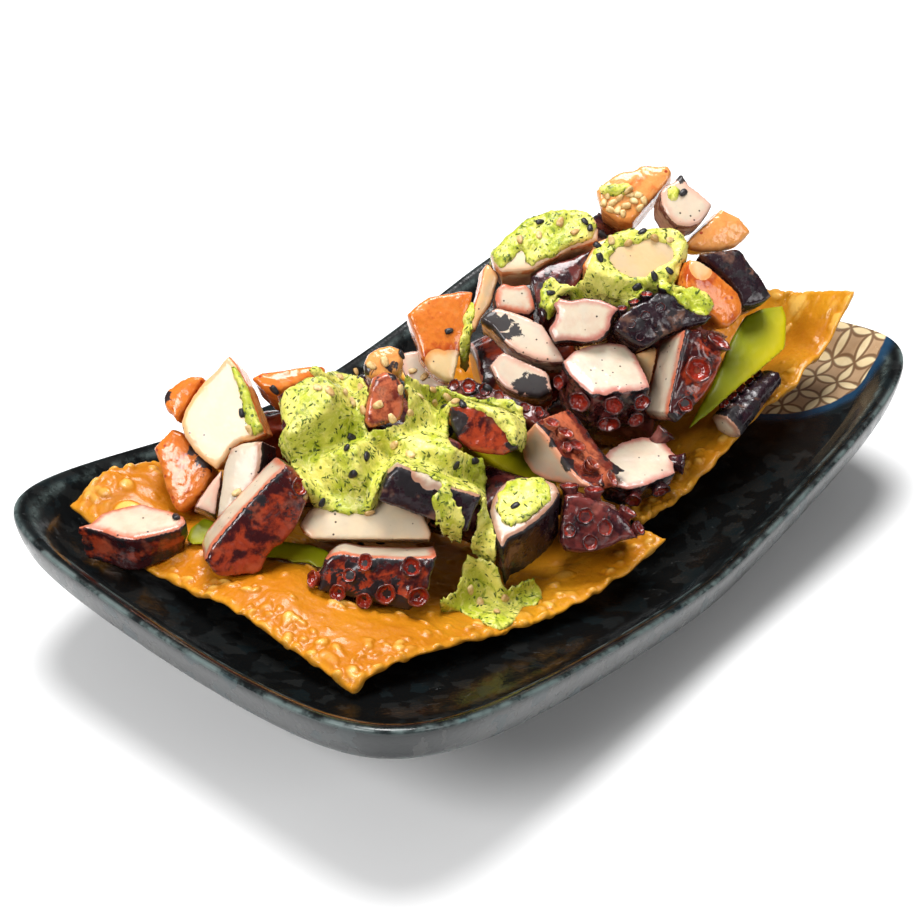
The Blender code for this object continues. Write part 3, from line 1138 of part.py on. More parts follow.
def build():
    clear_scene()
    scene = bpy.context.scene.collection
    parts = bpy.data.collections.new("octopus tostada")
    cutters = bpy.data.collections.new("cutters")
    scene.children.link(parts)
    scene.children.link(cutters)
    for name in ("overlap probe", "overlap other"):
        helper = bpy.data.objects.new(name, bpy.data.meshes.new(name))
        helper.hide_render = True
        helper.display_type = "WIRE"
        cutters.objects.link(helper)
    shared = bpy.data.objects["overlap probe"].modifiers.new("Shared", "BOOLEAN")
    shared.operation = "INTERSECT"
    shared.object = bpy.data.objects["overlap other"]
    shared.solver = "EXACT"

    plate = make_plate(parts)
    plate_tree = tree_of([finished_mesh(plate)])
    sheets = [
        make_sheet("fried_sheet_front", tree=plate_tree, collection=parts, **FRONT_SHEET),
        make_sheet("fried_sheet_back", tree=plate_tree, collection=parts, **BACK_SHEET),
    ]
    bpy.context.view_layer.update()
    laid = [finished_mesh(obj) for obj in [plate] + sheets]
    for name, bm, finish in front_pieces() + back_pieces() + hidden_pieces():
        trim_against(bm, laid)
        laid.append(bm)
        mesh_object(name, bm.copy(), finish, parts)
    sauce("sauce_front", FRONT_SAUCE, 2.2, 13, laid, parts, (BLOCK_BARE, BLOCK_SIDE_BARE))
    sauce("sauce_puddle", PUDDLE, 1.6, 2, laid, parts)
    sauce("sauce_arc", ARC_SAUCE, 2.0, 4, laid, parts)
    sauce("sauce_back", BACK_SAUCE, 2.0, 9, laid, parts, (CENTRE_BARE,))
    for name in ("overlap probe", "overlap other"):
        bpy.data.objects.remove(bpy.data.objects[name])
    for bm in laid:
        bm.free()


build()
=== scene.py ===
# Octopus tostada on its stoneware plate: the look of the part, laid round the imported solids.
# Metres, +Z up, table at z = 0, the plate's long side along X.

import json
import math
import random

import bmesh
import bpy
import numpy as np
from mathutils import Matrix, Vector, noise
from mathutils.bvhtree import BVHTree
from mathutils.kdtree import KDTree

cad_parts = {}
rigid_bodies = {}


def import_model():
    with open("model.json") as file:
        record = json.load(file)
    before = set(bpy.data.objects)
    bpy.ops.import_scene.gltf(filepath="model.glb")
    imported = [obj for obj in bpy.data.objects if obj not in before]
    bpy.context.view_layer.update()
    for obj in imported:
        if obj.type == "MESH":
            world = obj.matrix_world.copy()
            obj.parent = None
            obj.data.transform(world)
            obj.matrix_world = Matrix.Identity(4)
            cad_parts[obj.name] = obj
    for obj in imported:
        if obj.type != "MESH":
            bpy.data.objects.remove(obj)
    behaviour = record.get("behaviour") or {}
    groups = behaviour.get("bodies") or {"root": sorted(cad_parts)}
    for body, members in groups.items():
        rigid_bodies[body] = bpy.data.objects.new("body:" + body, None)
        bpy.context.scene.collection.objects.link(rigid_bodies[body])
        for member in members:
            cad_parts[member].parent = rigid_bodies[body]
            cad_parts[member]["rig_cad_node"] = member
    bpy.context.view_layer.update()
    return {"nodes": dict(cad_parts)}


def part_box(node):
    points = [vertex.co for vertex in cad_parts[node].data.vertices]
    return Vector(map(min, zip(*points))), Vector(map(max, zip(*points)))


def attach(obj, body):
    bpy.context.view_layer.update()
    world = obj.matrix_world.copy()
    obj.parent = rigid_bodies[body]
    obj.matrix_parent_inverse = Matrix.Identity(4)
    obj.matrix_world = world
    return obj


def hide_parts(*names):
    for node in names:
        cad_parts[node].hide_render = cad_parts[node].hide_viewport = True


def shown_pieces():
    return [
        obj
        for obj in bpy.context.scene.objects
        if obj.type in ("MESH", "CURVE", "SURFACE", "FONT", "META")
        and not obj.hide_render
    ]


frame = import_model()
solids = frame["nodes"]
MM = 0.001


# Plate: a small serving plate of black stoneware, pressed in a mould, its ends swept up by hand.
# It is dipped in a glossy black glaze that breaks to grey flakes on the walls and thins to grey-green
# along its edges, where the lighter colour and turquoise glints are also painted highlight; a round patch in
# one corner is painted with linked circles before glazing.

PLATE_LENGTH = 220 * MM
PLATE_WIDTH = 140 * MM
OUTLINE_POWER = 7.0
RIM_MIDDLE = 15 * MM
END_RISE = 21.2 * MM
END_POWER = 1.5
SIDE_RISE = 8.6 * MM
FLOOR_DROP = 6 * MM
CREASE = 10 * MM
RIM_SECTION = (
    (16, 10.0), (9, 9.8), (3.2, 9.5), (1.9, 8.7), (1.1, 6.8), (0.2, 2.4), (0.4, 0.7), (1.5, 0.05),
    (3.2, 0.35), (5.0, 1.6), (6.5, 3.1), (8.2, 4.9), (CREASE / MM, FLOOR_DROP / MM),
)
FOOT_LENGTH = 122 * MM
FOOT_WIDTH = 70 * MM
FOOT_RING = 6 * MM
FOOT_RECESS = 2 * MM
FOOT_POWER = 4.0
FLOOR_RINGS = 16
OUTLINE_POINTS = 320


def outline(half_x, half_y, power, count):
    """Evenly spaced points round a rounded rectangle with slightly bowed sides."""
    angle = np.linspace(0, 2 * np.pi, 2880, endpoint=False)
    c, s = np.cos(angle), np.sin(angle)
    x = half_x * np.sign(c) * np.abs(c) ** (2 / power)
    y = half_y * np.sign(s) * np.abs(s) ** (2 / power)
    x, y = np.append(x, x[0]), np.append(y, y[0])
    run = np.concatenate([[0], np.cumsum(np.hypot(np.diff(x), np.diff(y)))])
    at = np.linspace(0, run[-1], count, endpoint=False)
    return np.stack([np.interp(at, run, x), np.interp(at, run, y)], 1)


def rim_height(x, y):
    end = np.abs(2 * x / PLATE_LENGTH) ** END_POWER
    return RIM_MIDDLE + END_RISE * end + SIDE_RISE * (2 * y / PLATE_WIDTH) ** 2


def corners_cut(stops, rounds):
    """Rounds a section by cutting its corners again and again, its two ends kept."""
    line = np.array(stops, float)
    for _ in range(rounds):
        near = 0.75 * line[:-1] + 0.25 * line[1:]
        far = 0.25 * line[:-1] + 0.75 * line[1:]
        inner = np.stack([near, far], 1).reshape(-1, 2)
        line = np.concatenate([line[:1], inner[1:-1], line[-1:]])
    return line


def plate_rings():
    """Rings of the plate from the middle of the foot, out and over the rim, to the floor's middle, each
    with how far it is on the outer wall and how near a rounded edge, where the glaze runs thin and is
    painted lighter as a highlight."""
    rings = []
    for grow, height in ((-FOOT_RING, FOOT_RECESS), (-FOOT_RING, 0.3 * MM), (-FOOT_RING + 0.4 * MM, 0),
                         (-0.4 * MM, 0), (0, 0.3 * MM)):
        ring = outline(FOOT_LENGTH / 2 + grow, FOOT_WIDTH / 2 + grow, FOOT_POWER, OUTLINE_POINTS)
        rings.append((np.c_[ring, np.full(len(ring), height)], 1.0, 0.0))
    ring = outline(FOOT_LENGTH / 2 + 1 * MM, FOOT_WIDTH / 2 + 1 * MM, FOOT_POWER, OUTLINE_POINTS)
    rings.append((np.c_[ring, rim_height(*ring.T) - 9 * MM], 1.0, 0.0))
    for inset, drop in corners_cut(RIM_SECTION, 3) * MM:
        ring = outline(PLATE_LENGTH / 2 - inset, PLATE_WIDTH / 2 - inset, OUTLINE_POWER, OUTLINE_POINTS)
        top_edge = math.exp(-((inset - 0.45 * MM) ** 2 + (drop - 0.55 * MM) ** 2) / (0.75 * MM) ** 2)
        inner_edge = 0.55 * math.exp(-((inset - 4.0 * MM) ** 2 + (drop - 0.8 * MM) ** 2) / (0.9 * MM) ** 2)
        low_edge = 0.4 * math.exp(-((inset - 1.9 * MM) ** 2 + (drop - 8.7 * MM) ** 2) / (0.9 * MM) ** 2)
        wall = 1.0 if drop > 0.6 * MM and inset < 3 * MM or drop > 7 * MM else 0.0
        rings.append((np.c_[ring, rim_height(*ring.T) - drop], wall, top_edge + inner_edge + low_edge))
    for share in np.linspace(1, 0, FLOOR_RINGS, endpoint=False)[1:]:
        half_x, half_y = PLATE_LENGTH / 2 - CREASE, PLATE_WIDTH / 2 - CREASE
        ring = outline(half_x * share, half_y * share, OUTLINE_POWER, OUTLINE_POINTS)
        rings.append((np.c_[ring, rim_height(*ring.T) - FLOOR_DROP], 0.0, 0.0))
    return rings


def mesh_of(name, points, faces, **values):
    """A smooth-shaded mesh with one number a corner for each named value."""
    mesh = bpy.data.meshes.new(name)
    mesh.from_pydata([tuple(p) for p in points], [], faces)
    mesh.shade_smooth()
    for key, numbers in values.items():
        layer = mesh.attributes.new(key, "FLOAT", "POINT")
        layer.data.foreach_set("value", np.asarray(numbers, np.float32))
    return mesh


def shown(name, mesh, finish, slot, *replaced):
    """Puts a finished mesh in the scene as a piece that rides on the part."""
    made = bpy.data.objects.new(name, mesh)
    bpy.context.scene.collection.objects.link(made)
    mesh.materials.clear()
    mesh.materials.append(finish)
    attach(made, "root")
    if replaced:
        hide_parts(*replaced)
    return made


def lofted(rings, wobble):
    """Faces between rings of points, both ends closed, with a slight hand-made unevenness."""
    points, wall, edge, faces = [], [], [], []
    count = len(rings[0][0])
    for ring, on_wall, on_edge in rings:
        for x, y, z in ring:
            at = Vector((x, y, z)) * 22
            points.append((x, y, z + wobble * noise.noise(at) if z > 1 * MM else z))
            wall.append(on_wall)
            edge.append(on_edge)
    for k in range(len(rings) - 1):
        a, b = k * count, (k + 1) * count
        faces += [(a + i, a + (i + 1) % count, b + (i + 1) % count, b + i) for i in range(count)]
    for start, order in ((0, -1), ((len(rings) - 1) * count, 1)):
        ring = np.array(points[start:start + count])
        points.append(tuple(ring.mean(0)))
        wall.append(wall[start])
        edge.append(0)
        middle = len(points) - 1
        faces += [(start + i, start + (i + 1) % count, middle)[::order] for i in range(count)]
    return points, faces, wall, edge


def add(tree, kind, settings=None, **inputs):
    """A node in a tree, its settings set and its inputs linked or filled in by name or place."""
    made = tree.nodes.new(kind)
    for key, value in (settings or {}).items():
        setattr(made, key, value)
    for key, value in inputs.items():
        place = int(key[1:]) if key[0] == "i" and key[1:].isdigit() else key.replace("_", " ")
        socket = made.inputs[place]
        if isinstance(value, bpy.types.NodeSocket):
            tree.links.new(value, socket)
        else:
            socket.default_value = value
    return made


def maths(tree, operation, a, b=0.0, c=0.0):
    return add(tree, "ShaderNodeMath", {"operation": operation}, i0=a, i1=b, i2=c).outputs[0]


def times(tree, a, b):
    return maths(tree, "MULTIPLY", a, b)


def plus(tree, a, b):
    return maths(tree, "ADD", a, b)


def less(tree, a, b):
    return maths(tree, "SUBTRACT", a, b)


def rest(tree, share):
    """What a share lacks of 1."""
    return less(tree, 1.0, share)


def mixed(tree, share, first, second, way="MIX"):
    """Two colours mixed by a share from 0 to 1."""
    return add(tree, "ShaderNodeMix", {"data_type": "RGBA", "blend_type": way, "clamp_factor": True},
               i0=share, i6=first, i7=second).outputs[2]


def between(tree, value, low, high):
    """0 below low and 1 above high, smoothly between them."""
    return add(tree, "ShaderNodeMapRange", {"interpolation_type": "SMOOTHSTEP", "clamp": True},
               i0=value, i1=low, i2=high, i3=0.0, i4=1.0).outputs[0]


def here(tree):
    return add(tree, "ShaderNodeTexCoord").outputs["Object"]


def measure(tree, name):
    """A value stored on the mesh."""
    return add(tree, "ShaderNodeAttribute", {"attribute_name": name}).outputs["Fac"]


def cloudy(tree, where, scale, detail=3.0, rough=0.55, warp=0.0):
    return add(tree, "ShaderNodeTexNoise", Vector=where, Scale=scale, Detail=detail, Roughness=rough,
               Distortion=warp).outputs["Fac"]


def rgb(red, green, blue):
    return (red, green, blue, 1.0)


def finish(name, roughness=0.4, coat=0.0, coat_roughness=0.1, soft=0.0, soft_reach=None, specular=0.5):
    """A new material, with its tree and its shader."""
    made = bpy.data.materials.new(name)
    made.use_nodes = True
    shader = made.node_tree.nodes["Principled BSDF"]
    shader.inputs["Roughness"].default_value = roughness
    shader.inputs["Coat Weight"].default_value = coat
    shader.inputs["Coat Roughness"].default_value = coat_roughness
    shader.inputs["Specular IOR Level"].default_value = specular
    if soft:
        shader.inputs["Subsurface Weight"].default_value = soft
        shader.inputs["Subsurface Radius"].default_value = soft_reach
        shader.inputs["Subsurface Scale"].default_value = 1 * MM
    return made, made.node_tree, shader


def bumped(tree, shader, height, distance, strength=1.0):
    relief = add(tree, "ShaderNodeBump", Height=height, Distance=distance, Strength=strength)
    tree.links.new(relief.outputs["Normal"], shader.inputs["Normal"])


PATCH_MIDDLE = (97.2 * MM, -31.2 * MM)
PATCH_RADIUS = 24.6 * MM
PATTERN_CORNER = (91.6 * MM, -48.5 * MM)
PATTERN_TURN = math.radians(-7.5)
PATTERN_STEP = 7.2 * MM


def linked_circles(tree, where):
    """Masks of the linked-circle pattern: its petals, and the brown lines that bound them."""
    flat = add(tree, "ShaderNodeMapping", {"vector_type": "TEXTURE"}, Vector=where,
               Location=(*PATTERN_CORNER, 0), Rotation=(0, 0, PATTERN_TURN),
               Scale=(PATTERN_STEP, PATTERN_STEP, 1)).outputs[0]
    apart = add(tree, "ShaderNodeSeparateXYZ", Vector=flat)
    inside = []
    for axis in (0, 1):
        cell = maths(tree, "FRACT", apart.outputs[axis])
        inside.append(maths(tree, "ABSOLUTE", less(tree, cell, 0.5)))
    reach = []
    for a, b in (inside, inside[::-1]):
        across = rest(tree, a)
        squares = plus(tree, times(tree, across, across), times(tree, b, b))
        reach.append(maths(tree, "SQRT", squares))
    nearest = maths(tree, "MINIMUM", *reach)
    off = less(tree, nearest, 0.7071)
    line = rest(tree, between(tree, maths(tree, "ABSOLUTE", off), 0.03, 0.085))
    petal = between(tree, times(tree, off, -1.0), 0.0, 0.05)
    return petal, line


def plate_glaze():
    made, tree, shader = finish("black stoneware glaze", 0.2, coat=0.0)
    where = here(tree)
    wall = measure(tree, "wall")
    edge = measure(tree, "edge")
    warp = add(tree, "ShaderNodeTexNoise", Vector=where, Scale=420.0, Detail=2.0).outputs["Color"]
    bent = add(tree, "ShaderNodeVectorMath", {"operation": "MULTIPLY_ADD"},
               i0=warp, i1=(3.4 * MM, 3.4 * MM, 3.4 * MM), i2=where).outputs[0]
    flakes = add(tree, "ShaderNodeTexVoronoi", Vector=bent, Scale=270.0, Randomness=1.0)
    tone = add(tree, "ShaderNodeSeparateColor", i0=flakes.outputs["Color"])
    broad = cloudy(tree, where, 55.0, 3.0)
    chosen = between(tree, plus(tree, tone.outputs[0], times(tree, broad, 0.5)), 0.78, 0.9)
    ground = mixed(tree, wall, rgb(0.0032, 0.0036, 0.0038), rgb(0.0095, 0.0125, 0.0135))
    grey = mixed(tree, between(tree, tone.outputs[1], 0.3, 0.9), rgb(0.036, 0.038, 0.037),
                 rgb(0.012, 0.027, 0.032))
    faint = times(tree, chosen, plus(tree, times(tree, wall, 0.72), 0.16))
    colour = mixed(tree, faint, ground, grey)
    # Painted highlight: the rounded rim edges are lightened to grey-green, partly the glaze thinning there,
    # and dotted with turquoise glints.
    edge_breakup = cloudy(tree, where, 130.0, 4.0, 0.65)
    thin = times(tree, edge, between(tree, edge_breakup, 0.38, 0.62))
    colour = mixed(tree, thin, colour, rgb(0.10, 0.135, 0.13))
    glint = times(tree, between(tree, edge, 0.5, 0.95),
                  between(tree, cloudy(tree, where, 90.0, 1.0), 0.66, 0.74))
    colour = mixed(tree, glint, colour, rgb(0.13, 0.33, 0.33))

    petal, line = linked_circles(tree, where)
    plan = add(tree, "ShaderNodeSeparateXYZ", Vector=where)
    away = [less(tree, plan.outputs[k], PATCH_MIDDLE[k]) for k in (0, 1)]
    squares = plus(tree, times(tree, away[0], away[0]), times(tree, away[1], away[1]))
    wave = times(tree, less(tree, cloudy(tree, where, 160.0, 2.0), 0.5), 1.6 * MM)
    radius = plus(tree, maths(tree, "SQRT", squares), wave)
    inner = rest(tree, wall)
    round_patch = times(tree, inner, rest(tree, between(
        tree, radius, PATCH_RADIUS - 0.3 * MM, PATCH_RADIUS + 0.3 * MM)))
    blue_ring = times(tree, inner, rest(tree, between(
        tree, radius, PATCH_RADIUS + 0.8 * MM, PATCH_RADIUS + 4.2 * MM)))
    colour = mixed(tree, times(tree, blue_ring, 0.85), colour, rgb(0.012, 0.045, 0.095))
    shade = cloudy(tree, where, 240.0, 3.0)
    tan = mixed(tree, shade, rgb(0.30, 0.18, 0.095), rgb(0.50, 0.34, 0.20))
    cream = mixed(tree, shade, rgb(0.55, 0.40, 0.20), rgb(0.78, 0.66, 0.42))
    painted = mixed(tree, petal, tan, cream)
    painted = mixed(tree, times(tree, line, 0.8), painted, rgb(0.115, 0.055, 0.025))
    colour = mixed(tree, round_patch, colour, painted)

    low = add(tree, "ShaderNodeSeparateXYZ", Vector=where).outputs["Z"]
    bare = rest(tree, between(tree, low, 0.2 * MM, 0.6 * MM))
    colour = mixed(tree, bare, colour, rgb(0.16, 0.12, 0.09))
    tree.links.new(colour, shader.inputs["Base Color"])
    gloss = plus(tree, times(tree, thin, 0.3), 0.16)
    gloss = plus(tree, gloss, times(tree, faint, 0.16))
    gloss = plus(tree, gloss, times(tree, bare, 0.5))
    tree.links.new(gloss, shader.inputs["Roughness"])
    pits = cloudy(tree, where, 700.0, 2.0)
    relief = plus(tree, times(tree, chosen, 0.6), times(tree, pits, 0.7))
    bumped(tree, shader, relief, 0.12 * MM, 0.7)
    return made


points, faces, wall, edge = lofted(plate_rings(), 0.35 * MM)
plate_mesh = mesh_of("plate_body", points, faces, wall=wall, edge=edge)
shown("plate_body", plate_mesh, plate_glaze(), "stoneware", "plate")


# Fried sheets: square wheat wrappers about 90 mm across, fried flat until crisp. Hot oil raises pale
# blisters on both faces (their paleness partly painted highlight), bakes the hollows amber and curls the
# edges; they carry the whole heap.

SHEET_SIDE = 90 * MM
SHEET_THICKNESS = 1.5 * MM
SHEET_CELLS = 230
FULL_BLISTER = 1.3 * MM
FRONT_SHEET = {
    "plan": ((-91, -37, 0), (1, -53, 0), (-1, 42, 0), (-90, 57, 0)),
    "edges": (
        ((0, 29.5), (0.06, 30), (0.18, 30), (0.33, 26.5), (0.5, 22.5), (0.65, 20.8), (0.84, 21.6), (1, 26)),
        ((0, 26), (0.25, 20), (0.6, 18), (1, 24)),
        ((0, 34), (0.11, 39), (0.3, 36), (0.5, 31), (0.75, 24), (1, 24)),
        ((0, 29.5), (0.2, 31), (0.4, 32.5), (0.5, 30.5), (0.65, 29), (0.8, 29.5), (1, 34)),
    ),
    "sag": 1.5,
    "seed": 3.0,
}
BACK_SHEET = {
    "plan": ((6, -43, 0), (94, -48.5, 0), (100, 42, 0), (14, 48, 0)),
    "edges": (
        ((0, 24), (0.19, 23.9), (0.33, 27.4), (0.53, 34.7), (0.68, 36.8), (0.78, 39.4), (0.89, 43.8),
         (1, 55.5)),
        ((0, 55.5), (0.09, 53.3), (0.19, 49), (0.28, 47.5), (0.6, 41), (1, 40)),
        ((0, 30), (0.3, 25), (0.7, 30), (1, 40)),
        ((0, 24), (0.3, 20), (0.7, 22), (1, 30)),
    ),
    "sag": 2.0,
    "seed": 11.0,
}


def smooth_through(stops, share):
    """A smooth height along an edge, through (share, millimetres) stops, for an array of shares."""
    places = np.array([s[0] for s in stops])
    heights = np.array([s[1] for s in stops], float)
    k = np.clip(np.searchsorted(places, share, side="left") - 1, 0, len(stops) - 2)
    t = (share - places[k]) / (places[k + 1] - places[k])
    before, after = heights[np.maximum(k - 1, 0)], heights[np.minimum(k + 2, len(stops) - 1)]
    a, b = heights[k], heights[k + 1]
    return 0.5 * MM * (
        2 * a + (b - before) * t + (2 * before - 5 * a + 4 * b - after) * t ** 2
        + (3 * a - before - 3 * b + after) * t ** 3
    )


def sheet_surface(plan, edges, sag, u, v):
    """Places of a sheet: a patch spanned by the heights of its four edges, sagging inside."""
    near_left, near_right, far_right, far_left = [np.array(p) * MM for p in plan]
    u1, v1 = u[:, None], v[:, None]
    flat = (near_left * (1 - u1) * (1 - v1) + near_right * u1 * (1 - v1)
            + far_right * u1 * v1 + far_left * (1 - u1) * v1)
    near, right, far, left = edges
    ends = MM * (near[0][1] * (1 - u) * (1 - v) + near[-1][1] * u * (1 - v)
                 + far[-1][1] * u * v + far[0][1] * (1 - u) * v)
    flat[:, 2] = (smooth_through(near, u) * (1 - v) + smooth_through(far, u) * v
                  + smooth_through(left, v) * (1 - u) + smooth_through(right, v) * u
                  - ends - sag * MM * 16 * u * (1 - u) * v * (1 - v))
    return flat


def domes(u, v, seed, count, small, large, lift):
    """Round blisters of many sizes, more of them near the edges, as height over the sheet."""
    chance = random.Random(seed)
    height = np.zeros_like(u)
    for _ in range(count):
        a, b = chance.random(), chance.random()
        if chance.random() < 0.4:
            a = chance.choice((0.03, 0.97)) + chance.uniform(-0.04, 0.04)
        elif chance.random() < 0.4:
            b = chance.choice((0.03, 0.97)) + chance.uniform(-0.04, 0.04)
        radius = small + (large - small) * chance.random() ** 3
        stretch = chance.uniform(0.75, 1.3)
        far = np.hypot((u - a) * stretch, (v - b) / stretch) * SHEET_SIDE / radius
        dome = np.sqrt(np.maximum(0, 1 - far ** 2)) * radius * lift * chance.uniform(0.6, 1.2)
        height = np.maximum(height, dome)
    return height


def fried_sheet(name, plan, edges, sag, seed, crisp):
    """A wavy wall with blisters over and under it, closed round its ragged edge."""
    side = np.linspace(0, 1, SHEET_CELLS + 1)
    u, v = [g.ravel() for g in np.meshgrid(side, side)]
    middle = sheet_surface(plan, edges, sag, u, v)
    over, under, thin = np.zeros(len(u)), np.zeros(len(u)), np.zeros(len(u))
    for k in range(len(u)):
        at = Vector((u[k] * 7, v[k] * 7, seed))
        broad = max(0.0, noise.noise(at) - 0.15)
        fine = max(0.0, noise.noise(at * 2.3 + Vector((5, 3, 0))) - 0.1)
        uneven = noise.noise(Vector((u[k] * 5, v[k] * 5, seed + 9))) * 0.8 * MM
        ragged = noise.noise(Vector((u[k] * 20, v[k] * 20, seed + 4))) * 1.9 * MM
        middle[k] += (uneven + ragged * 0.4, -uneven + ragged * 0.5, (1.9 * broad + 0.7 * fine) * MM)
        over[k] = noise.noise(at * 6.0) * 0.16 * MM + noise.noise(at * 15.0) * 0.07 * MM
        under[k] = noise.noise(at * 5.0 + Vector((9, 1, 4))) * 0.2 * MM
    wide = domes(u, v, name + " wide", 34, 1.8 * MM, 3.8 * MM, 0.36)
    small = domes(u, v, name + " small", 1500, 0.35 * MM, 1.5 * MM, 0.6)
    below = domes(u, v, name + " below", 170, 0.9 * MM, 2.6 * MM, 0.5)
    bubble = np.maximum(wide, small)
    rim = np.minimum.reduce([u, v, 1 - u, 1 - v]) * SHEET_SIDE
    half = SHEET_THICKNESS / 2 * np.sqrt(np.clip(rim / (0.9 * MM), 0, 1) * 0.9 + 0.1)
    floor = rim_height(middle[:, 0], middle[:, 1]) - FLOOR_DROP
    edge_in = np.minimum(PLATE_LENGTH / 2 - np.abs(middle[:, 0]), PLATE_WIDTH / 2 - np.abs(middle[:, 1]))
    floor += np.interp(edge_in, [0, 3.2 * MM, CREASE], [FLOOR_DROP, FLOOR_DROP, 0])
    low = np.maximum(middle[:, 2] - half - under - below, floor + 0.1 * MM)
    high = np.maximum(middle[:, 2] + half + over + bubble, low + 0.5 * MM)
    top = np.c_[middle[:, :2], high]
    bottom = np.c_[middle[:, :2], low]
    n = SHEET_CELLS + 1
    index = np.arange(n * n).reshape(n, n)
    a, b, c, d = [g.ravel() for g in (index[:-1, :-1], index[:-1, 1:], index[1:, 1:], index[1:, :-1])]
    faces = np.c_[a, b, c, d].tolist() + (np.c_[d, c, b, a] + n * n).tolist()
    loop = np.concatenate([index[0], index[1:, -1], index[-1, -2::-1], index[-2:0:-1, 0]])
    following = np.roll(loop, -1)
    faces += np.c_[loop + n * n, following + n * n, following, loop].tolist()
    raised = np.concatenate([bubble / FULL_BLISTER, below / FULL_BLISTER])
    rims = np.concatenate([1 - np.clip(rim / (4 * MM), 0, 1)] * 2)
    mesh = mesh_of(name + "_crisp", np.concatenate([top, bottom]), faces, raised=raised, rims=rims)
    shown(name + "_crisp", mesh, crisp, "fried_sheet", name)


def crisp_wrapper():
    """Golden fried dough: amber hollows, pale thin blisters whose paleness is partly painted highlight, a
    darker left end on the front sheet, oil sheen and a few baked brown specks.
    """
    made, tree, shader = finish("crisp fried wrapper", 0.42, soft=0.08, soft_reach=(1.2, 0.6, 0.2),
                                coat=0.22, coat_roughness=0.1, specular=0.25)
    where = here(tree)
    raised = measure(tree, "raised")
    rims = measure(tree, "rims")
    broad = cloudy(tree, where, 38.0, 3.0)
    colour = mixed(tree, between(tree, broad, 0.35, 0.68), rgb(0.42, 0.140, 0.003), rgb(0.55, 0.235, 0.009))
    # Darker towards the left end of the front sheet, where x falls below about -55 mm.
    across = add(tree, "ShaderNodeSeparateXYZ", Vector=where).outputs["X"]
    left_end_darkening = times(tree, between(tree, times(tree, across, -1.0), 0.055, 0.085), 0.75)
    colour = mixed(tree, left_end_darkening, colour, rgb(0.46, 0.145, 0.004))
    fine = cloudy(tree, where, 420.0, 4.0, 0.6)
    colour = mixed(tree, times(tree, between(tree, fine, 0.5, 0.75), 0.45), colour, rgb(0.40, 0.115, 0.003))
    # Paler blister tops: partly the thin dough's own colour and partly painted highlight.
    pale = times(tree, between(tree, raised, 0.22, 0.8), 0.8)
    colour = mixed(tree, pale, colour, rgb(0.80, 0.47, 0.10))
    colour = mixed(tree, times(tree, between(tree, rims, 0.55, 1.0), 0.5), colour, rgb(0.68, 0.31, 0.022))
    burnt = between(tree, cloudy(tree, where, 210.0, 2.0), 0.69, 0.76)
    colour = mixed(tree, times(tree, burnt, 0.4), colour, rgb(0.26, 0.065, 0.004))
    tree.links.new(colour, shader.inputs["Base Color"])
    tree.links.new(plus(tree, times(tree, fine, 0.25), 0.24), shader.inputs["Roughness"])
    bumped(tree, shader, plus(tree, fine, times(tree, cloudy(tree, where, 1300.0, 2.0), 0.5)),
           0.22 * MM, 0.8)
    return made


crisp = crisp_wrapper()
fried_sheet("fried_sheet_front", crisp=crisp, **FRONT_SHEET)
fried_sheet("fried_sheet_back", crisp=crisp, **BACK_SHEET)


# Octopus, front heap: boiled tentacles charred on a grill and chopped into chunks. Each keeps its thin
# skin, red to black where the fire caught it, and its suckers; the knife bares white flesh that turns
# pink towards the skin. The pieces lie loose on the sheet, pressed flat where they lean on each other.
# Spots, suckers and the outlines they stand on are points (x, y) of the 920 by 920 picture; the eye,
# aim and focus below turn them into places in the scene.

VIEW_TURN = math.radians(49.41)
VIEW_RISE = math.radians(32.15)
VIEW_TOWARDS = Vector((-math.sin(VIEW_TURN) * math.cos(VIEW_RISE),
                       -math.cos(VIEW_TURN) * math.cos(VIEW_RISE),
                       math.sin(VIEW_RISE)))
VIEW_RIGHT = Vector((math.cos(VIEW_TURN), -math.sin(VIEW_TURN), 0.0))
VIEW_UP = VIEW_TOWARDS.cross(VIEW_RIGHT)
AIM = Vector((9.49, 19.43, 15)) * MM
DISTANCE = 427.2 * MM
EYE = AIM + VIEW_TOWARDS * DISTANCE
PICTURE_MIDDLE = 460
LENS_PIXELS = 1562
PICTURE_UNIT = DISTANCE / LENS_PIXELS
CUP_SINK = 0.35
CHUNK_EDGE = 0.6 * MM
CHUNK_NARROWING = 0.94
FACE_MATCH = 0.999
SPOT_EDGE = 1.6
CUP_SECTION = (
    (0.70, -0.5), (0.76, 0.1), (0.80, 0.48), (0.88, 0.78), (0.99, 0.98), (1.04, 1.10),
    (1.00, 1.19), (0.91, 1.20), (0.82, 1.12), (0.74, 0.98), (0.66, 0.84), (0.54, 0.74),
    (0.40, 0.70), (0.30, 0.66), (0.22, 0.52), (0.10, 0.44),
)
CUP_POINTS = 28
VISIBLE_CELL = 0.45 * MM
HIDDEN_CELL = 0.95 * MM
BLUSH_REACH = 2.4 * MM
DOME_REACH = 4.5 * MM
VERGE_REACH = 3.5 * MM


def seen(direction):
    """A direction given as right, up, towards, in world axes."""
    right, up, towards = direction
    return (VIEW_RIGHT * right + VIEW_UP * up + VIEW_TOWARDS * towards).normalized()


def sight(x, y):
    """The way from the eye through a point of the picture, one unit deep."""
    across = VIEW_RIGHT * (x - PICTURE_MIDDLE) + VIEW_UP * (PICTURE_MIDDLE - y)
    return across / LENS_PIXELS - VIEW_TOWARDS


def on_plane(spot, point, normal):
    """Where the sight line through a point of the picture meets a plane."""
    way = sight(*spot)
    return EYE + way * ((point - EYE).dot(normal) / way.dot(normal))


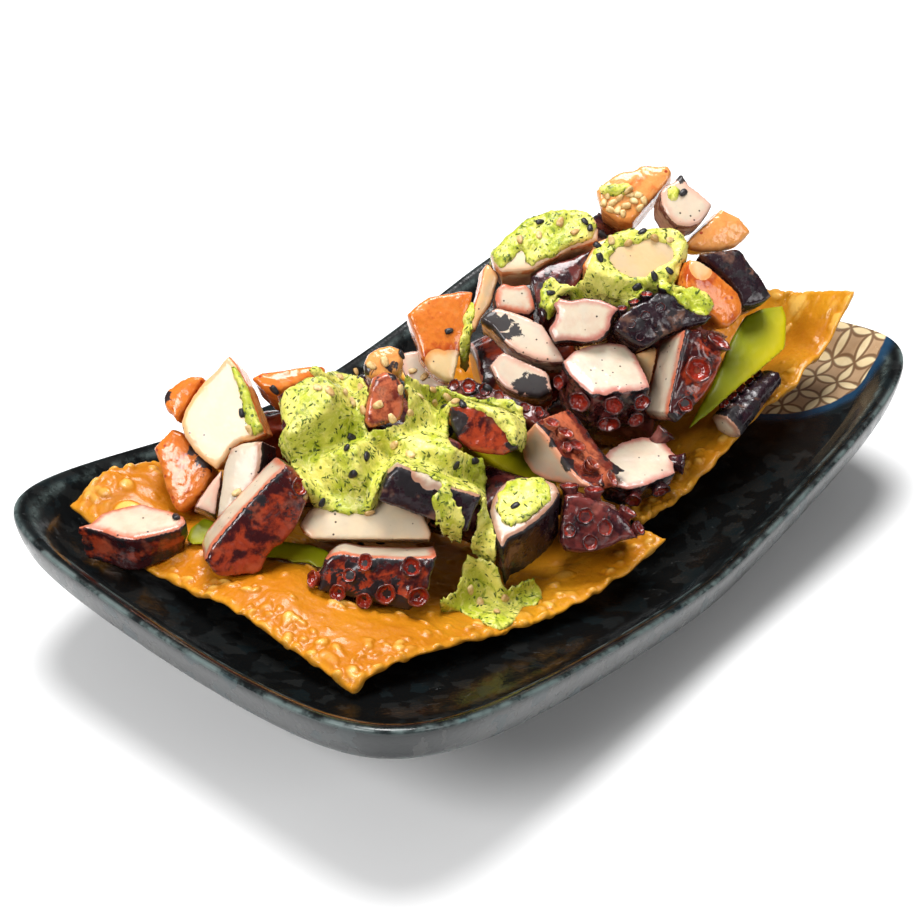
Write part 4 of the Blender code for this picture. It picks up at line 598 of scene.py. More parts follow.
def octopus_surface():
    """What every octopus finish shares: skin blotched and charred, flesh pink towards the skin and dusted
    with specks, and suckers whose rims are dark and whose cups are red."""
    group = bpy.data.node_groups.new("octopus surface", "ShaderNodeTree")
    for label in ("Skin", "Patch", "Flesh", "Blush", "Cup", "Char"):
        group.interface.new_socket(label, in_out="INPUT", socket_type="NodeSocketColor")
    for label in ("Patching", "Charring", "Speckling", "Spots"):
        group.interface.new_socket(label, in_out="INPUT", socket_type="NodeSocketFloat")
    group.interface.new_socket("Colour", in_out="OUTPUT", socket_type="NodeSocketColor")
    for label in ("Roughness", "Height"):
        group.interface.new_socket(label, in_out="OUTPUT", socket_type="NodeSocketFloat")
    given = group.nodes.new("NodeGroupInput").outputs
    where = here(group)
    flesh = measure(group, "flesh")
    section = measure(group, "section")
    cup = measure(group, "cup")
    rim = measure(group, "rim")
    scorch = measure(group, "scorch")
    verge = measure(group, "verge")

    broad = cloudy(group, where, 145.0, 4.0, 0.55, 0.8)
    fine = cloudy(group, where, 620.0, 4.0, 0.65)
    blotch = plus(group, times(group, broad, 0.75), times(group, fine, 0.25))
    patched = between(group, plus(group, blotch, plus(group, given["Patching"], times(group, verge, 0.2))),
                      0.92, 1.06)
    skin = mixed(group, patched, given["Skin"], given["Patch"])
    mottled = times(group, between(group, fine, 0.46, 0.62), 0.25)
    skin = mixed(group, mottled, skin, given["Patch"])
    glow = times(group, between(group, cloudy(group, where, 190.0, 3.0), 0.54, 0.68), 0.32)
    skin = mixed(group, glow, skin, given["Blush"])
    spotted = add(group, "ShaderNodeTexVoronoi", Vector=where, Scale=620.0)
    few = add(group, "ShaderNodeSeparateColor", i0=spotted.outputs["Color"])
    spot = times(group, rest(group, between(group, spotted.outputs["Distance"], 0.18, 0.34)),
                 maths(group, "GREATER_THAN", plus(group, few.outputs[0], given["Spots"]), 1.0))
    skin = mixed(group, spot, skin, rgb(0.36, 0.045, 0.015))
    soot = plus(group, times(group, cloudy(group, where, 235.0, 5.0, 0.7), 0.8), times(group, broad, 0.2))
    fire = plus(group, given["Charring"], times(group, verge, 0.13))
    charred = between(group, plus(group, soot, fire), 0.97, 1.04)
    skin = mixed(group, charred, skin, given["Char"])

    rosy = between(group, plus(group, section, times(group, fine, 0.18)), 0.86, 1.07)
    meat = mixed(group, rosy, given["Flesh"], given["Blush"])
    cloud = times(group, between(group, cloudy(group, where, 240.0, 4.0, 0.6), 0.42, 0.7), 0.22)
    meat = mixed(group, cloud, meat, given["Blush"])
    # Painted shade: grey clouds over the flesh stand in for the dim shading of its translucency.
    grey = times(group, between(group, cloudy(group, where, 150.0, 3.0), 0.45, 0.65), 0.3)
    meat = mixed(group, grey, meat, rgb(0.40, 0.36, 0.30))
    specks = add(group, "ShaderNodeTexVoronoi", Vector=where, Scale=900.0)
    chosen = add(group, "ShaderNodeSeparateColor", i0=specks.outputs["Color"])
    speck = times(group, rest(group, between(group, specks.outputs["Distance"], 0.16, 0.3)),
                  maths(group, "GREATER_THAN", plus(group, chosen.outputs[1], given["Speckling"]), 1.0))
    meat = mixed(group, speck, meat, rgb(0.035, 0.018, 0.014))

    cut = between(group, plus(group, flesh, times(group, less(group, fine, 0.5), 0.5)), 0.4, 0.6)
    seam = times(group, cut, rest(group, cut))
    colour = mixed(group, cut, skin, meat)
    colour = mixed(group, times(group, seam, 1.6), colour, given["Patch"])
    tongue = less(group, cloudy(group, where, 300.0, 5.0, 0.65, 0.8), 0.5)
    flame = plus(group, scorch, times(group, tongue, 2.2))
    flame = times(group, between(group, flame, 0.24, 0.36), between(group, scorch, 0.0, 0.06))
    colour = mixed(group, times(group, flame, 0.98), colour, given["Char"])
    dark_rim = mixed(group, fine, given["Patch"], given["Char"])
    colour = mixed(group, times(group, rim, 0.7), colour, dark_rim)
    bowl = mixed(group, between(group, fine, 0.35, 0.7), given["Cup"], rgb(0.16, 0.012, 0.008))
    colour = mixed(group, times(group, cup, 0.92), colour, bowl)

    dry = maths(group, "MAXIMUM", times(group, charred, rest(group, cut)), flame)
    rough = plus(group, times(group, dry, 0.28), times(group, fine, 0.14))
    rough = plus(group, rough, times(group, cut, 0.14))
    rough = plus(group, rough, 0.11)
    wrinkles = times(group, fine, rest(group, times(group, cut, 0.72)))
    height = plus(group, wrinkles, times(group, dry, 0.3))
    out = group.nodes.new("NodeGroupOutput")
    for label, value in (("Colour", colour), ("Roughness", rough), ("Height", height)):
        group.links.new(value, out.inputs[label])
    return group


SURFACE = octopus_surface()
INK = (0.009, 0.006, 0.008)


def octopus_finish(name, skin, patch, blush, patching, charring, speckling=0.07, spots=0.0, shine=0.4,
                   flesh=(0.56, 0.465, 0.345), cup=(0.34, 0.020, 0.006), char=INK):
    made, tree, shader = finish(name, 0.3, soft=0.10, soft_reach=(1.6, 0.6, 0.3), coat=shine,
                                coat_roughness=0.05, specular=0.35)
    group = tree.nodes.new("ShaderNodeGroup")
    group.node_tree = SURFACE
    for label, value in (("Skin", skin), ("Patch", patch), ("Flesh", flesh), ("Blush", blush), ("Cup", cup),
                         ("Char", char)):
        group.inputs[label].default_value = rgb(*value)
    for label, value in (("Patching", patching), ("Charring", charring), ("Speckling", speckling),
                         ("Spots", spots)):
        group.inputs[label].default_value = value
    tree.links.new(group.outputs["Colour"], shader.inputs["Base Color"])
    tree.links.new(group.outputs["Roughness"], shader.inputs["Roughness"])
    bumped(tree, shader, group.outputs["Height"], 0.22 * MM, 0.6)
    return made


RED_SKIN = octopus_finish("octopus red skin", (0.36, 0.046, 0.016), (0.045, 0.008, 0.009),
                          (0.50, 0.13, 0.065), 0.45, 0.38)
# Painted shade: this finish's flesh is a darkened copy of the pale octopus flesh.
MAROON_SKIN = octopus_finish("octopus maroon skin", (0.15, 0.028, 0.024), (0.030, 0.007, 0.010),
                             (0.34, 0.11, 0.08), 0.46, 0.40, flesh=(0.34, 0.24, 0.18))
WINE_SKIN = octopus_finish("octopus wine skin", (0.11, 0.020, 0.018), (0.022, 0.006, 0.009),
                           (0.46, 0.17, 0.13), 0.47, 0.42)
BLACK_SKIN = octopus_finish("octopus black skin", (0.020, 0.008, 0.012), (0.006, 0.004, 0.007),
                            (0.38, 0.19, 0.12), 0.4, 0.46, shine=0.2)
# Painted shade: this finish's flesh is a darkened grey-brown copy of the pale flesh, for the pink chunk's
# shaded cut face.
SALMON_SKIN = octopus_finish("octopus salmon skin", (0.50, 0.125, 0.055), (0.14, 0.022, 0.014),
                             (0.62, 0.26, 0.15), 0.46, 0.40, flesh=(0.42, 0.31, 0.23))
ORANGE_SKIN = octopus_finish("octopus orange skin", (0.62, 0.165, 0.020), (0.40, 0.060, 0.008),
                             (0.70, 0.31, 0.09), 0.38, 0.26, spots=0.14, flesh=(0.68, 0.49, 0.25))
PEACH_SKIN = octopus_finish("octopus peach skin", (0.68, 0.29, 0.08), (0.60, 0.15, 0.03),
                            (0.72, 0.40, 0.17), 0.38, 0.2, spots=0.08, flesh=(0.58, 0.40, 0.20))
CREAM_SKIN = octopus_finish("octopus cream skin", (0.60, 0.38, 0.20), (0.50, 0.17, 0.06),
                            (0.66, 0.42, 0.26), 0.36, 0.22, spots=0.05, flesh=(0.61, 0.49, 0.33))
WHITE_SKIN = octopus_finish("octopus white skin", (0.50, 0.33, 0.24), (0.16, 0.06, 0.05),
                            (0.62, 0.36, 0.27), 0.42, 0.34, speckling=0.10, flesh=(0.58, 0.48, 0.36))


def sucker(radius, chance):
    """One sucker: a short stalk, a rolled rim and a bowl with a small pit, base at z = 0."""
    bm = bmesh.new()
    cup_layer = bm.verts.layers.float.new("cup")
    rim_layer = bm.verts.layers.float.new("rim")
    phase = [chance.uniform(0, 6.28) for _ in range(4)]
    squash = chance.uniform(0.88, 1.0)
    rings = []
    for k, (reach, height) in enumerate(CUP_SECTION):
        ring = []
        for i in range(CUP_POINTS):
            turn = 2 * math.pi * i / CUP_POINTS
            wave = 1 + 0.05 * math.sin(2 * turn + phase[0]) + 0.035 * math.sin(5 * turn + phase[1])
            lift = 0.07 * math.sin(turn + phase[2]) + 0.03 * math.sin(7 * turn + phase[3])
            tall = height + lift * max(height, 0)
            if 8 <= k <= 12:
                wave *= 1 + 0.03 * math.cos(14 * turn)
            vert = bm.verts.new(Vector((
                reach * wave * math.cos(turn), reach * wave * squash * math.sin(turn), tall)) * radius)
            vert[cup_layer] = min(1.0, max(0.0, (k - 7.5) / 2))
            vert[rim_layer] = math.exp(-((k - 6.5) / 1.6) ** 2)
            ring.append(vert)
        rings.append(ring)
    for lower, upper in zip(rings, rings[1:]):
        for i in range(CUP_POINTS):
            j = (i + 1) % CUP_POINTS
            bm.faces.new((lower[i], lower[j], upper[j], upper[i]))
    bm.faces.new(rings[0][::-1])
    pit = bm.verts.new((0, 0, CUP_SECTION[-1][1] * 0.95 * radius))
    pit[cup_layer] = 1.0
    for i in range(CUP_POINTS):
        bm.faces.new((rings[-1][i], rings[-1][(i + 1) % CUP_POINTS], pit))
    return bm


def search_tree(meshes):
    """One search tree over several meshes."""
    points, faces = [], []
    for mesh in meshes:
        start = len(points)
        points += [v.co.copy() for v in mesh.vertices]
        faces += [[start + i for i in p.vertices] for p in mesh.polygons]
    return BVHTree.FromPolygons(points, faces)


def buried(tree, point):
    """Whether a point lies inside the solids of a tree."""
    spot, normal, _, away = tree.find_nearest(point, 6 * MM)
    return spot is not None and (point - spot).dot(normal) < 0


def rounded(bm, cell, passes):
    """The closed mesh rebuilt with small even cells and eased edges."""
    mesh = bpy.data.meshes.new("rounding")
    bm.to_mesh(mesh)
    holder = bpy.data.objects.new("rounding", mesh)
    bpy.context.scene.collection.objects.link(holder)
    cells = holder.modifiers.new("cells", "REMESH")
    cells.mode = "VOXEL"
    cells.voxel_size = cell
    ease = holder.modifiers.new("ease", "SMOOTH")
    ease.factor = 0.5
    ease.iterations = passes
    made = bpy.data.meshes.new_from_object(holder.evaluated_get(bpy.context.evaluated_depsgraph_get()))
    bpy.data.objects.remove(holder)
    bpy.data.meshes.remove(mesh)
    return made


def corner_arrays(mesh):
    count = len(mesh.vertices)
    co, no = np.empty(count * 3), np.empty(count * 3)
    mesh.vertices.foreach_get("co", co)
    mesh.vertex_normals.foreach_get("vector", no)
    return co.reshape(-1, 3), no.reshape(-1, 3)


def eased(value, low, high):
    share = np.clip((value - low) / (high - low), 0, 1)
    return share * share * (3 - 2 * share)


def merged_copy(name):
    """A copy of a solid's mesh with its loose triangles joined."""
    bm = bmesh.new()
    bm.from_mesh(solids[name].data)
    bmesh.ops.remove_doubles(bm, verts=bm.verts, dist=0.002 * MM)
    return bm


def apart(co, chosen, others):
    """How far each chosen place is from the nearest of the others."""
    away = np.zeros(len(co))
    if not others.any():
        return away + 1.0
    near = KDTree(int(others.sum()))
    for k in np.nonzero(others)[0]:
        near.insert(Vector(co[k]), int(k))
    near.balance()
    for k in np.nonzero(chosen)[0]:
        away[k] = near.find(Vector(co[k]))[2]
    return away


def spotted(co, spots, face, front):
    """1 at the middle of the nearest of several round spots on a face, 0 outside them. Spots are picture
    points with a radius in picture units."""
    share = np.zeros(len(co))
    for x, y, radius in spots:
        away = np.linalg.norm(co - np.array(on_plane((x, y), face, front)), axis=1)
        share = np.maximum(share, 1 - away / (radius * PICTURE_UNIT * SPOT_EDGE))
    return share


def near_face(bm, front):
    """A point of the near face of a solid: the middle of its largest triangle that looks `front`."""
    flat = [face for face in bm.faces if face.normal.dot(front) > FACE_MATCH]
    return max(flat, key=lambda face: face.calc_area()).calc_center_median() if flat else None


def face_middle(front, at, thick, corners):
    """The middle of a block's near face, half its thickness nearer to the eye than `at`."""
    middle = [sum(values) / len(corners) for values in zip(*corners)]
    away = (EYE - Vector(at) * MM).dot(VIEW_TOWARDS) - thick / 2 * MM * front.dot(VIEW_TOWARDS)
    return EYE + sight(*middle) * away


def seated(face, front, cut, cups):
    """Suckers as (place, radius, way): each is drawn at (picture x, picture y, depth behind the near face,
    radius, way it opens) and stands on the nearest wall of the block as it was cut. The block is given by
    roughly its middle, its thickness and its near face's corners in the picture."""
    _, thick, corners = cut
    block = bmesh.new()
    near = block.faces.new([block.verts.new(on_plane(spot, face, front)) for spot in corners])
    grown = bmesh.ops.extrude_face_region(block, geom=[near])
    far = [g for g in grown["geom"] if isinstance(g, bmesh.types.BMVert)]
    rim = [e for e in block.edges if not set(e.verts) & set(far)]
    middle = sum((v.co for v in far), Vector()) / len(far)
    for vert in far:
        vert.co = middle + (vert.co - middle) * CHUNK_NARROWING - front * thick * MM
    bmesh.ops.bevel(block, geom=rim, offset=CHUNK_EDGE, segments=1, affect="EDGES")
    walls = BVHTree.FromBMesh(block)
    block.free()
    found = []
    for x, y, back, radius, opens in cups:
        drawn = on_plane((x, y), face - front * back * MM, front)
        found.append((walls.find_nearest(drawn)[0], radius * MM, seen(opens)))
    return found


def sucker_row(start, end, count, radii, opens):
    """Suckers as (place, radius, way) in a straight row from one place to another, in millimetres."""
    shares = [k / (count - 1) for k in range(count)]
    first, last = radii
    return [(Vector(start).lerp(Vector(end), t) * MM, (first + (last - first) * t) * MM, seen(opens))
            for t in shares]


def octopus(name, faces, look, cut_front=True, bare=(), burnt=(), peeled=(), cut=None, cups=(), row=(),
            cell=VISIBLE_CELL, swell=1.0):
    """One chopped piece, from its solid: edges eased, skin wrinkled, flesh bulging where it is cut, and
    suckers rebuilt. `faces` is the way its near face looks and `bare` are knife faces; burnt and peeled
    spots are (x, y, radius) in the picture; cut and cups are described at `seated`."""
    name = "octopus_" + name
    chance = random.Random(name)
    front = seen(faces)
    knives = [seen(way) for way in bare] + ([front, -front] if cut_front else [])
    bm = merged_copy(name)
    neighbours = search_tree([solid.data for key, solid in solids.items()
                              if key != name and not key.startswith("sauce_") and boxes_meet(key, name)])
    face = face_middle(front, *cut) if cut else near_face(bm, front)
    suckers = []
    for seat, radius, way in list(row) + (seated(face, front, cut, cups) if cups else []):
        stand = Matrix.Translation(seat - way * radius * CUP_SINK)
        stand = stand @ way.to_track_quat("Z", "X").to_matrix().to_4x4()
        back = stand.inverted()
        for vert in bm.verts:
            local = back @ vert.co
            if math.hypot(local.x, local.y) < 1.15 * radius and local.z > (CUP_SINK + 0.06) * radius:
                local.z = CUP_SINK * radius * 0.9
                vert.co = stand @ local
        one = sucker(radius, chance)
        one.transform(stand)
        if sum(buried(neighbours, v.co) for v in one.verts) > 0.2 * len(one.verts):
            one.free()
        else:
            suckers.append(one)
    body = rounded(bm, cell, 1)
    bm.free()
    co, no = corner_arrays(body)
    flesh = eased(spotted(co, peeled, face, front), 0.1, 0.4)
    for way in knives:
        flesh = np.maximum(flesh, eased(no @ np.array(way), 0.5, 0.8))
    section = 1.06 - 0.30 * np.clip(apart(co, flesh > 0.3, flesh < 0.3) / BLUSH_REACH, 0, 1)
    verge = 1 - np.clip(apart(co, flesh < 0.3, flesh > 0.5) / VERGE_REACH, 0, 1)
    near = no @ np.array(front) > 0.6
    share = np.clip(apart(co, near, ~near) / DOME_REACH, 0, 1)
    dome = swell * (0.4 if cut_front else 1.0) * np.sqrt(1 - (1 - share) ** 2) * near
    push = np.empty(len(co))
    for k in range(len(co)):
        p = Vector(co[k])
        coarse = noise.noise(p * 210)
        wrinkle = abs(noise.noise(p * 620)) - 0.3
        grain = noise.noise(p * 1500)
        skin = 0.22 * coarse - 0.17 * wrinkle + 0.05 * grain
        meat = 0.10 * coarse + 0.03 * grain
        push[k] = skin * (1 - flesh[k]) + meat * flesh[k]
    co += no * (push * MM)[:, None] + np.array(front) * (dome * MM)[:, None]
    whole = bmesh.new()
    whole.from_mesh(body)
    whole.verts.ensure_lookup_table()
    layers = {key: whole.verts.layers.float.new(key)
              for key in ("flesh", "section", "verge", "scorch", "cup", "rim")}
    scorch = spotted(co, burnt, face, front)
    for k, vert in enumerate(whole.verts):
        vert.co = co[k]
        vert[layers["flesh"]] = flesh[k]
        vert[layers["section"]] = section[k]
        vert[layers["verge"]] = verge[k]
        vert[layers["scorch"]] = max(0.0, scorch[k])
    for one in suckers:
        scrap = bpy.data.meshes.new("sucker")
        one.to_mesh(scrap)
        one.free()
        whole.from_mesh(scrap)
        bpy.data.meshes.remove(scrap)
    whole.to_mesh(body)
    whole.free()
    body.name = name + "_flesh"
    body.shade_smooth()
    return shown(name + "_chunk", body, look, SLOTS.get(name[len("octopus_"):], "octopus_red"), name)


PALE = ("long_wedge", "pink_sliver", "cream_top", "charred_stick", "white_black", "pale_fin", "pale_base",
        "sauced_arc", "cream_corner", "centre")
DARK = ("sauced_slice", "black_block", "pale_stick", "purple", "dark_mid", "tip")
ORANGE = ("orange_wedge", "orange_back", "orange_bar", "salmon_flap", "top_bit", "orange_slab", "top",
          "orange_corner", "orange_side", "small_bit")
SLOTS = {name: slot for names, slot in ((PALE, "octopus_pale"), (DARK, "octopus_dark"),
                                        (ORANGE, "octopus_orange"))
         for name in names}


def boxes_meet(first, second):
    """Whether two solids lie within a millimetre or so of each other."""
    low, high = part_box(first)
    other_low, other_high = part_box(second)
    return all(low[k] < other_high[k] + 2 * MM and other_low[k] < high[k] + 2 * MM for k in range(3))


octopus("front_slab", (0, 0.79, 0.61), RED_SKIN)
octopus("front_log", (0.26, -0.2, 0.94), RED_SKIN, cut_front=False, bare=((-0.7, 0.6, 0.3),),
        cut=((-74, 10, 40), 13, (
            (286, 464), (294, 468), (301, 478), (306, 490), (308, 500), (302, 515), (294, 531), (283, 545),
            (274, 549), (268, 557), (262, 570), (250, 582), (240, 586), (226, 582), (214, 574), (204, 561),
            (210, 546), (228, 524), (246, 505), (260, 490), (274, 475))),
        cups=((297, 488, 0, 2, (0.5, 0.15, 0.85)),))
octopus("front_block", (0, -0.17, 0.98), RED_SKIN, cut_front=False, bare=((0, 0.95, 0.3),),
        burnt=((352, 575, 9), (388, 592, 11), (322, 588, 13), (342, 604, 14), (372, 600, 9),
               (411, 567, 5), (366, 560, 5), (330, 600, 15), (352, 606, 13), (400, 606, 11)),
        cut=((-62, -18, 33), 12, (
            (340, 552), (358, 556), (380, 557), (402, 558), (420, 558), (437, 556), (434, 567), (431, 577),
            (430, 588), (424, 600), (414, 607), (408, 613), (400, 610), (380, 605), (360, 606), (342, 609),
            (328, 610), (318, 602), (316, 588), (316, 574), (324, 560), (332, 554))),
        cups=(
            (366, 563, 0, 1.9, (-0.1, 0.2, 0.97)), (411, 567, 0, 2.2, (0.1, 0.1, 0.97)),
            (351, 575, 0, 1.6, (-0.3, 0, 0.95)), (340, 591, 0, 2, (-0.3, -0.2, 0.93)),
            (416, 594, 0, 2.5, (0.3, -0.3, 0.9)), (386, 592, 0, 2.3, (0, -0.2, 0.97)),
            (322, 579, 2, 1.9, (-0.8, 0, 0.6)), (365, 598, 0, 1.9, (-0.1, -0.4, 0.9))))
octopus("sauced_slice", (-0.05, 0.7, 0.71), BLACK_SKIN)
octopus("sucker_chunk", (0.05, -0.05, 1), MAROON_SKIN, cut_front=False,
        cut=((-12.5, -39.5, 33), 13, (
            (562, 496), (575, 492), (592, 496), (606, 502), (618, 510), (628, 518), (636, 528), (638, 538),
            (622, 541), (610, 548), (596, 552), (580, 554), (565, 552), (560, 543), (552, 530), (555, 514))),
        cups=(
            (571, 495, 3, 2.3, (-0.15, 0.95, 0.25)), (592, 499, 3, 2.4, (0.1, 0.92, 0.35)),
            (609, 507, 3, 2.3, (0.35, 0.85, 0.35)), (623, 518, 3, 2.2, (0.5, 0.75, 0.4)),
            (634, 531, 3, 2, (0.75, 0.5, 0.4)), (585, 517, 0, 2, (0, 0.2, 0.97)),
            (604, 528, 0, 2, (0.1, 0.1, 0.98)), (570, 530, 0, 1.7, (-0.2, 0, 0.97)),
            (590, 541, 0, 1.9, (0, -0.2, 0.97))))
octopus("pink_chunk", (-0.55, -0.25, 0.8), SALMON_SKIN,
        burnt=((570, 460, 8), (580, 465, 8), (588, 452, 5), (556, 440, 6)),
        cut=((-3, -26, 40.5), 16, (
            (520, 448), (525, 433), (535, 421), (546, 432), (557, 448), (568, 464), (582, 479), (598, 490),
            (580, 487), (560, 484), (545, 481), (532, 474), (523, 461))),
        cups=(
            (553, 424, 3, 1.9, (0.3, 0.8, 0.5)), (570, 432, 5, 2.1, (0.35, 0.75, 0.55)),
            (587, 440, 6, 2.1, (0.45, 0.7, 0.55)), (601, 453, 6, 2.2, (0.6, 0.6, 0.5)),
            (612, 470, 6, 2.2, (0.75, 0.35, 0.5)), (566, 448, 3, 1.4, (0.4, 0.4, 0.8)),
            (590, 462, 5, 1.6, (0.5, 0.3, 0.8))))
octopus("white_slice", (0.1, 0.55, 0.83), WINE_SKIN,
        cut=((14, -36, 34), 9, (
            (602, 453), (611, 441), (624, 432), (645, 427), (663, 430), (671, 440), (677, 450), (680, 462),
            (676, 472), (660, 478), (645, 485), (628, 488), (610, 483), (600, 470))),
        cups=(
            (678, 463, 3, 2.6, (0.95, -0.1, 0.3)), (668, 434, 3, 2.6, (0.7, 0.7, 0.3)),
            (657, 484, 4, 2.4, (0.4, -0.8, 0.5)), (632, 491, 4, 2.3, (-0.1, -0.85, 0.5))))
octopus("big", (0.08, 0.62, 0.78), WINE_SKIN,
        cut=((19, -20, 47), 14, (
            (562, 361), (574, 350), (590, 344), (608, 341), (626, 344), (637, 355), (644, 371), (651, 387),
            (640, 393), (622, 393), (606, 398), (592, 396), (580, 386), (568, 374))),
        cups=(
            (614, 404, 3, 2.5, (0, -0.45, 0.9)), (641, 401, 3, 2.2, (0.3, -0.5, 0.8)),
            (587, 395, 4, 2.7, (-0.35, -0.4, 0.85)), (612, 424, 9, 2.9, (0, -0.75, 0.65)),
            (571, 380, 5, 2, (-0.8, -0.2, 0.5)), (640, 422, 9, 2.3, (0.3, -0.7, 0.6))))
octopus("long_wedge", (0, 0.35, 0.93), CREAM_SKIN, bare=((0, -0.9, 0.3),))
octopus("black_block", (0.08, -0.2, 0.97), BLACK_SKIN, cut_front=False, bare=((0, 0.95, 0.3),),
        peeled=((419, 474, 5.5), (429, 480, 6.5), (440, 484, 4.5)))
octopus("pale_stick", (-0.3, 0.1, 0.95), BLACK_SKIN, bare=((-0.9, 0, 0.3), (0, 1, 0.2)))
octopus("pink_sliver", (0.2, 0.2, 0.96), WHITE_SKIN)
octopus("cream_top", (-0.22, 0.1, 0.97), PEACH_SKIN)
octopus("orange_wedge", (-0.15, 0.1, 0.98), ORANGE_SKIN, cut_front=False,
        burnt=((205, 462, 9), (196, 450, 6)))
octopus("orange_back", (-0.2, 0.25, 0.95), ORANGE_SKIN, cut_front=False, burnt=((165, 398, 7),))
octopus("orange_bar", (0, 0.45, 0.89), ORANGE_SKIN, cut_front=False)
octopus("salmon_flap", (0.08, -0.08, 0.99), SALMON_SKIN, cut_front=False, burnt=((395, 372, 5),))
octopus("top_bit", (0, 0.25, 0.97), PEACH_SKIN, cut_front=False, burnt=((392, 365, 5), (367, 370, 5)))
octopus("brown_face", (-0.12, -0.1, 0.98), RED_SKIN, cut_front=False, burnt=((456, 424, 10), (512, 446, 6)),
        swell=0.3)
octopus("sucker_strip", (0.05, 0.5, 0.86), WINE_SKIN, cut_front=False,
        cut=((-4, -5, 46), 10, (
            (445, 389), (451, 381), (462, 379), (476, 381), (491, 387), (506, 394), (526, 402), (545, 408),
            (557, 418), (560, 432), (546, 432), (526, 421), (505, 409), (485, 401), (465, 397), (452, 395))),
        cups=(
            (455, 386, 0, 1.5, (-0.2, 0.2, 0.95)), (469, 388, 0, 2, (0, 0.25, 0.97)),
            (484, 391, 0, 1.7, (0.1, 0.3, 0.95)), (498, 397, 0, 1.4, (0.2, 0.35, 0.92)),
            (524, 409, 0, 1.4, (0.2, 0.5, 0.85)), (538, 414, 0, 1.5, (0.3, 0.5, 0.85)),
            (551, 422, 0, 1.5, (0.4, 0.5, 0.8))))
octopus("sauced_left", (-0.25, 0.3, 0.92), MAROON_SKIN, cut_front=False)


# Octopus, back heap: the higher heap on the raised sheet, with a curled tentacle, three large suckers, a
# thin charred tip and a fan of peeled, orange and cream pieces behind them.

octopus("arm_slice", (-0.2, 0.1, 0.97), WINE_SKIN)
octopus("tentacle", (0.15, 0.1, 0.98), BLACK_SKIN, cut_front=False,
        cut=((36, -22, 62), 11, (
            (611, 322), (620, 313), (632, 306), (645, 299), (656, 292), (665, 289), (675, 295), (685, 304),
            (692, 311), (704, 312), (714, 316), (706, 324), (690, 327), (676, 330), (662, 338), (650, 346),
            (637, 350), (625, 344), (616, 335))),
        cups=(
            (624, 315, 2, 1.5, (-0.2, 0.85, 0.5)), (636, 308, 2, 1.5, (-0.2, 0.85, 0.5)),
            (648, 301, 2, 1.7, (-0.1, 0.85, 0.5)), (663, 293, 2, 1.9, (0, 0.85, 0.5)),
            (679, 303, 0, 1.7, (0.3, 0.4, 0.85)), (632, 325, 0, 1.2, (-0.2, 0.2, 0.95)),
            (645, 317, 0, 1.4, (0, 0.3, 0.95)), (660, 309, 0, 1.4, (0, 0.3, 0.95)),
            (640, 337, 0, 1.1, (-0.1, -0.1, 0.98)), (655, 328, 0, 1.2, (0, 0, 1))))
octopus("large_suckers", (0.36, 0, 0.93), RED_SKIN, cut_front=False, bare=((-0.95, 0, 0.3),),
        burnt=((685, 403, 9), (672, 418, 6)),
        cut=((36, -35, 50), 13, (
            (684, 334), (692, 325), (702, 330), (712, 344), (723, 360), (717, 374), (709, 390), (700, 401),
            (688, 413), (677, 423), (667, 413), (670, 398), (673, 384), (677, 365), (680, 350))),
        cups=(
            (692, 334, 2, 2.3, (0, 0.9, 0.42)), (711, 349, 1, 3.3, (0.55, 0.62, 0.56)),
            (696, 371, 0, 3.5, (0.1, 0.08, 0.99)), (685, 403, 0, 1.9, (0, -0.35, 0.9))))
octopus("small_slice", (0.1, 0.25, 0.96), RED_SKIN)
octopus("charred_stick", (0, 0.3, 0.95), WHITE_SKIN, burnt=((489, 320, 9), (502, 327, 9), (514, 332, 7)))
octopus("white_black", (-0.1, 0.2, 0.97), WHITE_SKIN, burnt=((537, 388, 12), (523, 386, 8)))
octopus("pale_fin", (0.2, 0.05, 0.98), PEACH_SKIN)
octopus("pale_base", (-0.1, 0.3, 0.95), WHITE_SKIN)
octopus("orange_slab", (0.12, 0.12, 0.98), ORANGE_SKIN, cut_front=False,
        peeled=((452, 374, 19), (472, 368, 14), (437, 362, 10)))
octopus("sauced_arc", (0, 0.35, 0.94), CREAM_SKIN)
octopus("cream_corner", (0.1, 0.2, 0.97), WHITE_SKIN, burnt=((681, 178, 6),))
octopus("top", (-0.1, 0.2, 0.97), PEACH_SKIN, cut_front=False)
octopus("orange_corner", (0.2, 0, 0.98), PEACH_SKIN, cut_front=False)
octopus("purple", (0.2, 0.2, 0.96), BLACK_SKIN, cut_front=False)
octopus("orange_side", (0.3, 0.05, 0.95), ORANGE_SKIN, cut_front=False, peeled=((700, 268, 10),))
octopus("centre", (0.03, 0.3, 0.95), PEACH_SKIN)
octopus("small_bit", (-0.1, 0, 0.99), PEACH_SKIN)
octopus("dark_mid", (0, 0.3, 0.95), WINE_SKIN, cut_front=False)
octopus("tip", (-0.64, -0.62, 0.45), BLACK_SKIN, cut_front=False, bare=((-0.64, -0.62, 0.45),),
        row=sucker_row((42.8, -42.2, 40.5), (56.8, -42.9, 43.9), 5, (1.5, 1.2), (-0.6, 0.6, 0.5)))


# Octopus underneath: plain chunks that fill the heaps and show only from behind and from the sides.

for name, look in (
    ("under_left", WINE_SKIN), ("under_mid", WINE_SKIN), ("low_right", WINE_SKIN),
    ("behind_left", RED_SKIN), ("behind_mid", MAROON_SKIN), ("under_back", RED_SKIN),
    ("behind_back", MAROON_SKIN), ("far_back", WINE_SKIN), ("low_back", WINE_SKIN), ("far_low", RED_SKIN),
):
    octopus(name, (0, 0.2, 0.98), look, cut_front=False, bare=((-0.9, 0, 0.3),), cell=HIDDEN_CELL)


# Avocado: crescent slices of ripe flesh without peel, smooth and waxy, green at the outer curve where
# the peel was and yellow towards the stone. They lie on the sheets under the octopus.

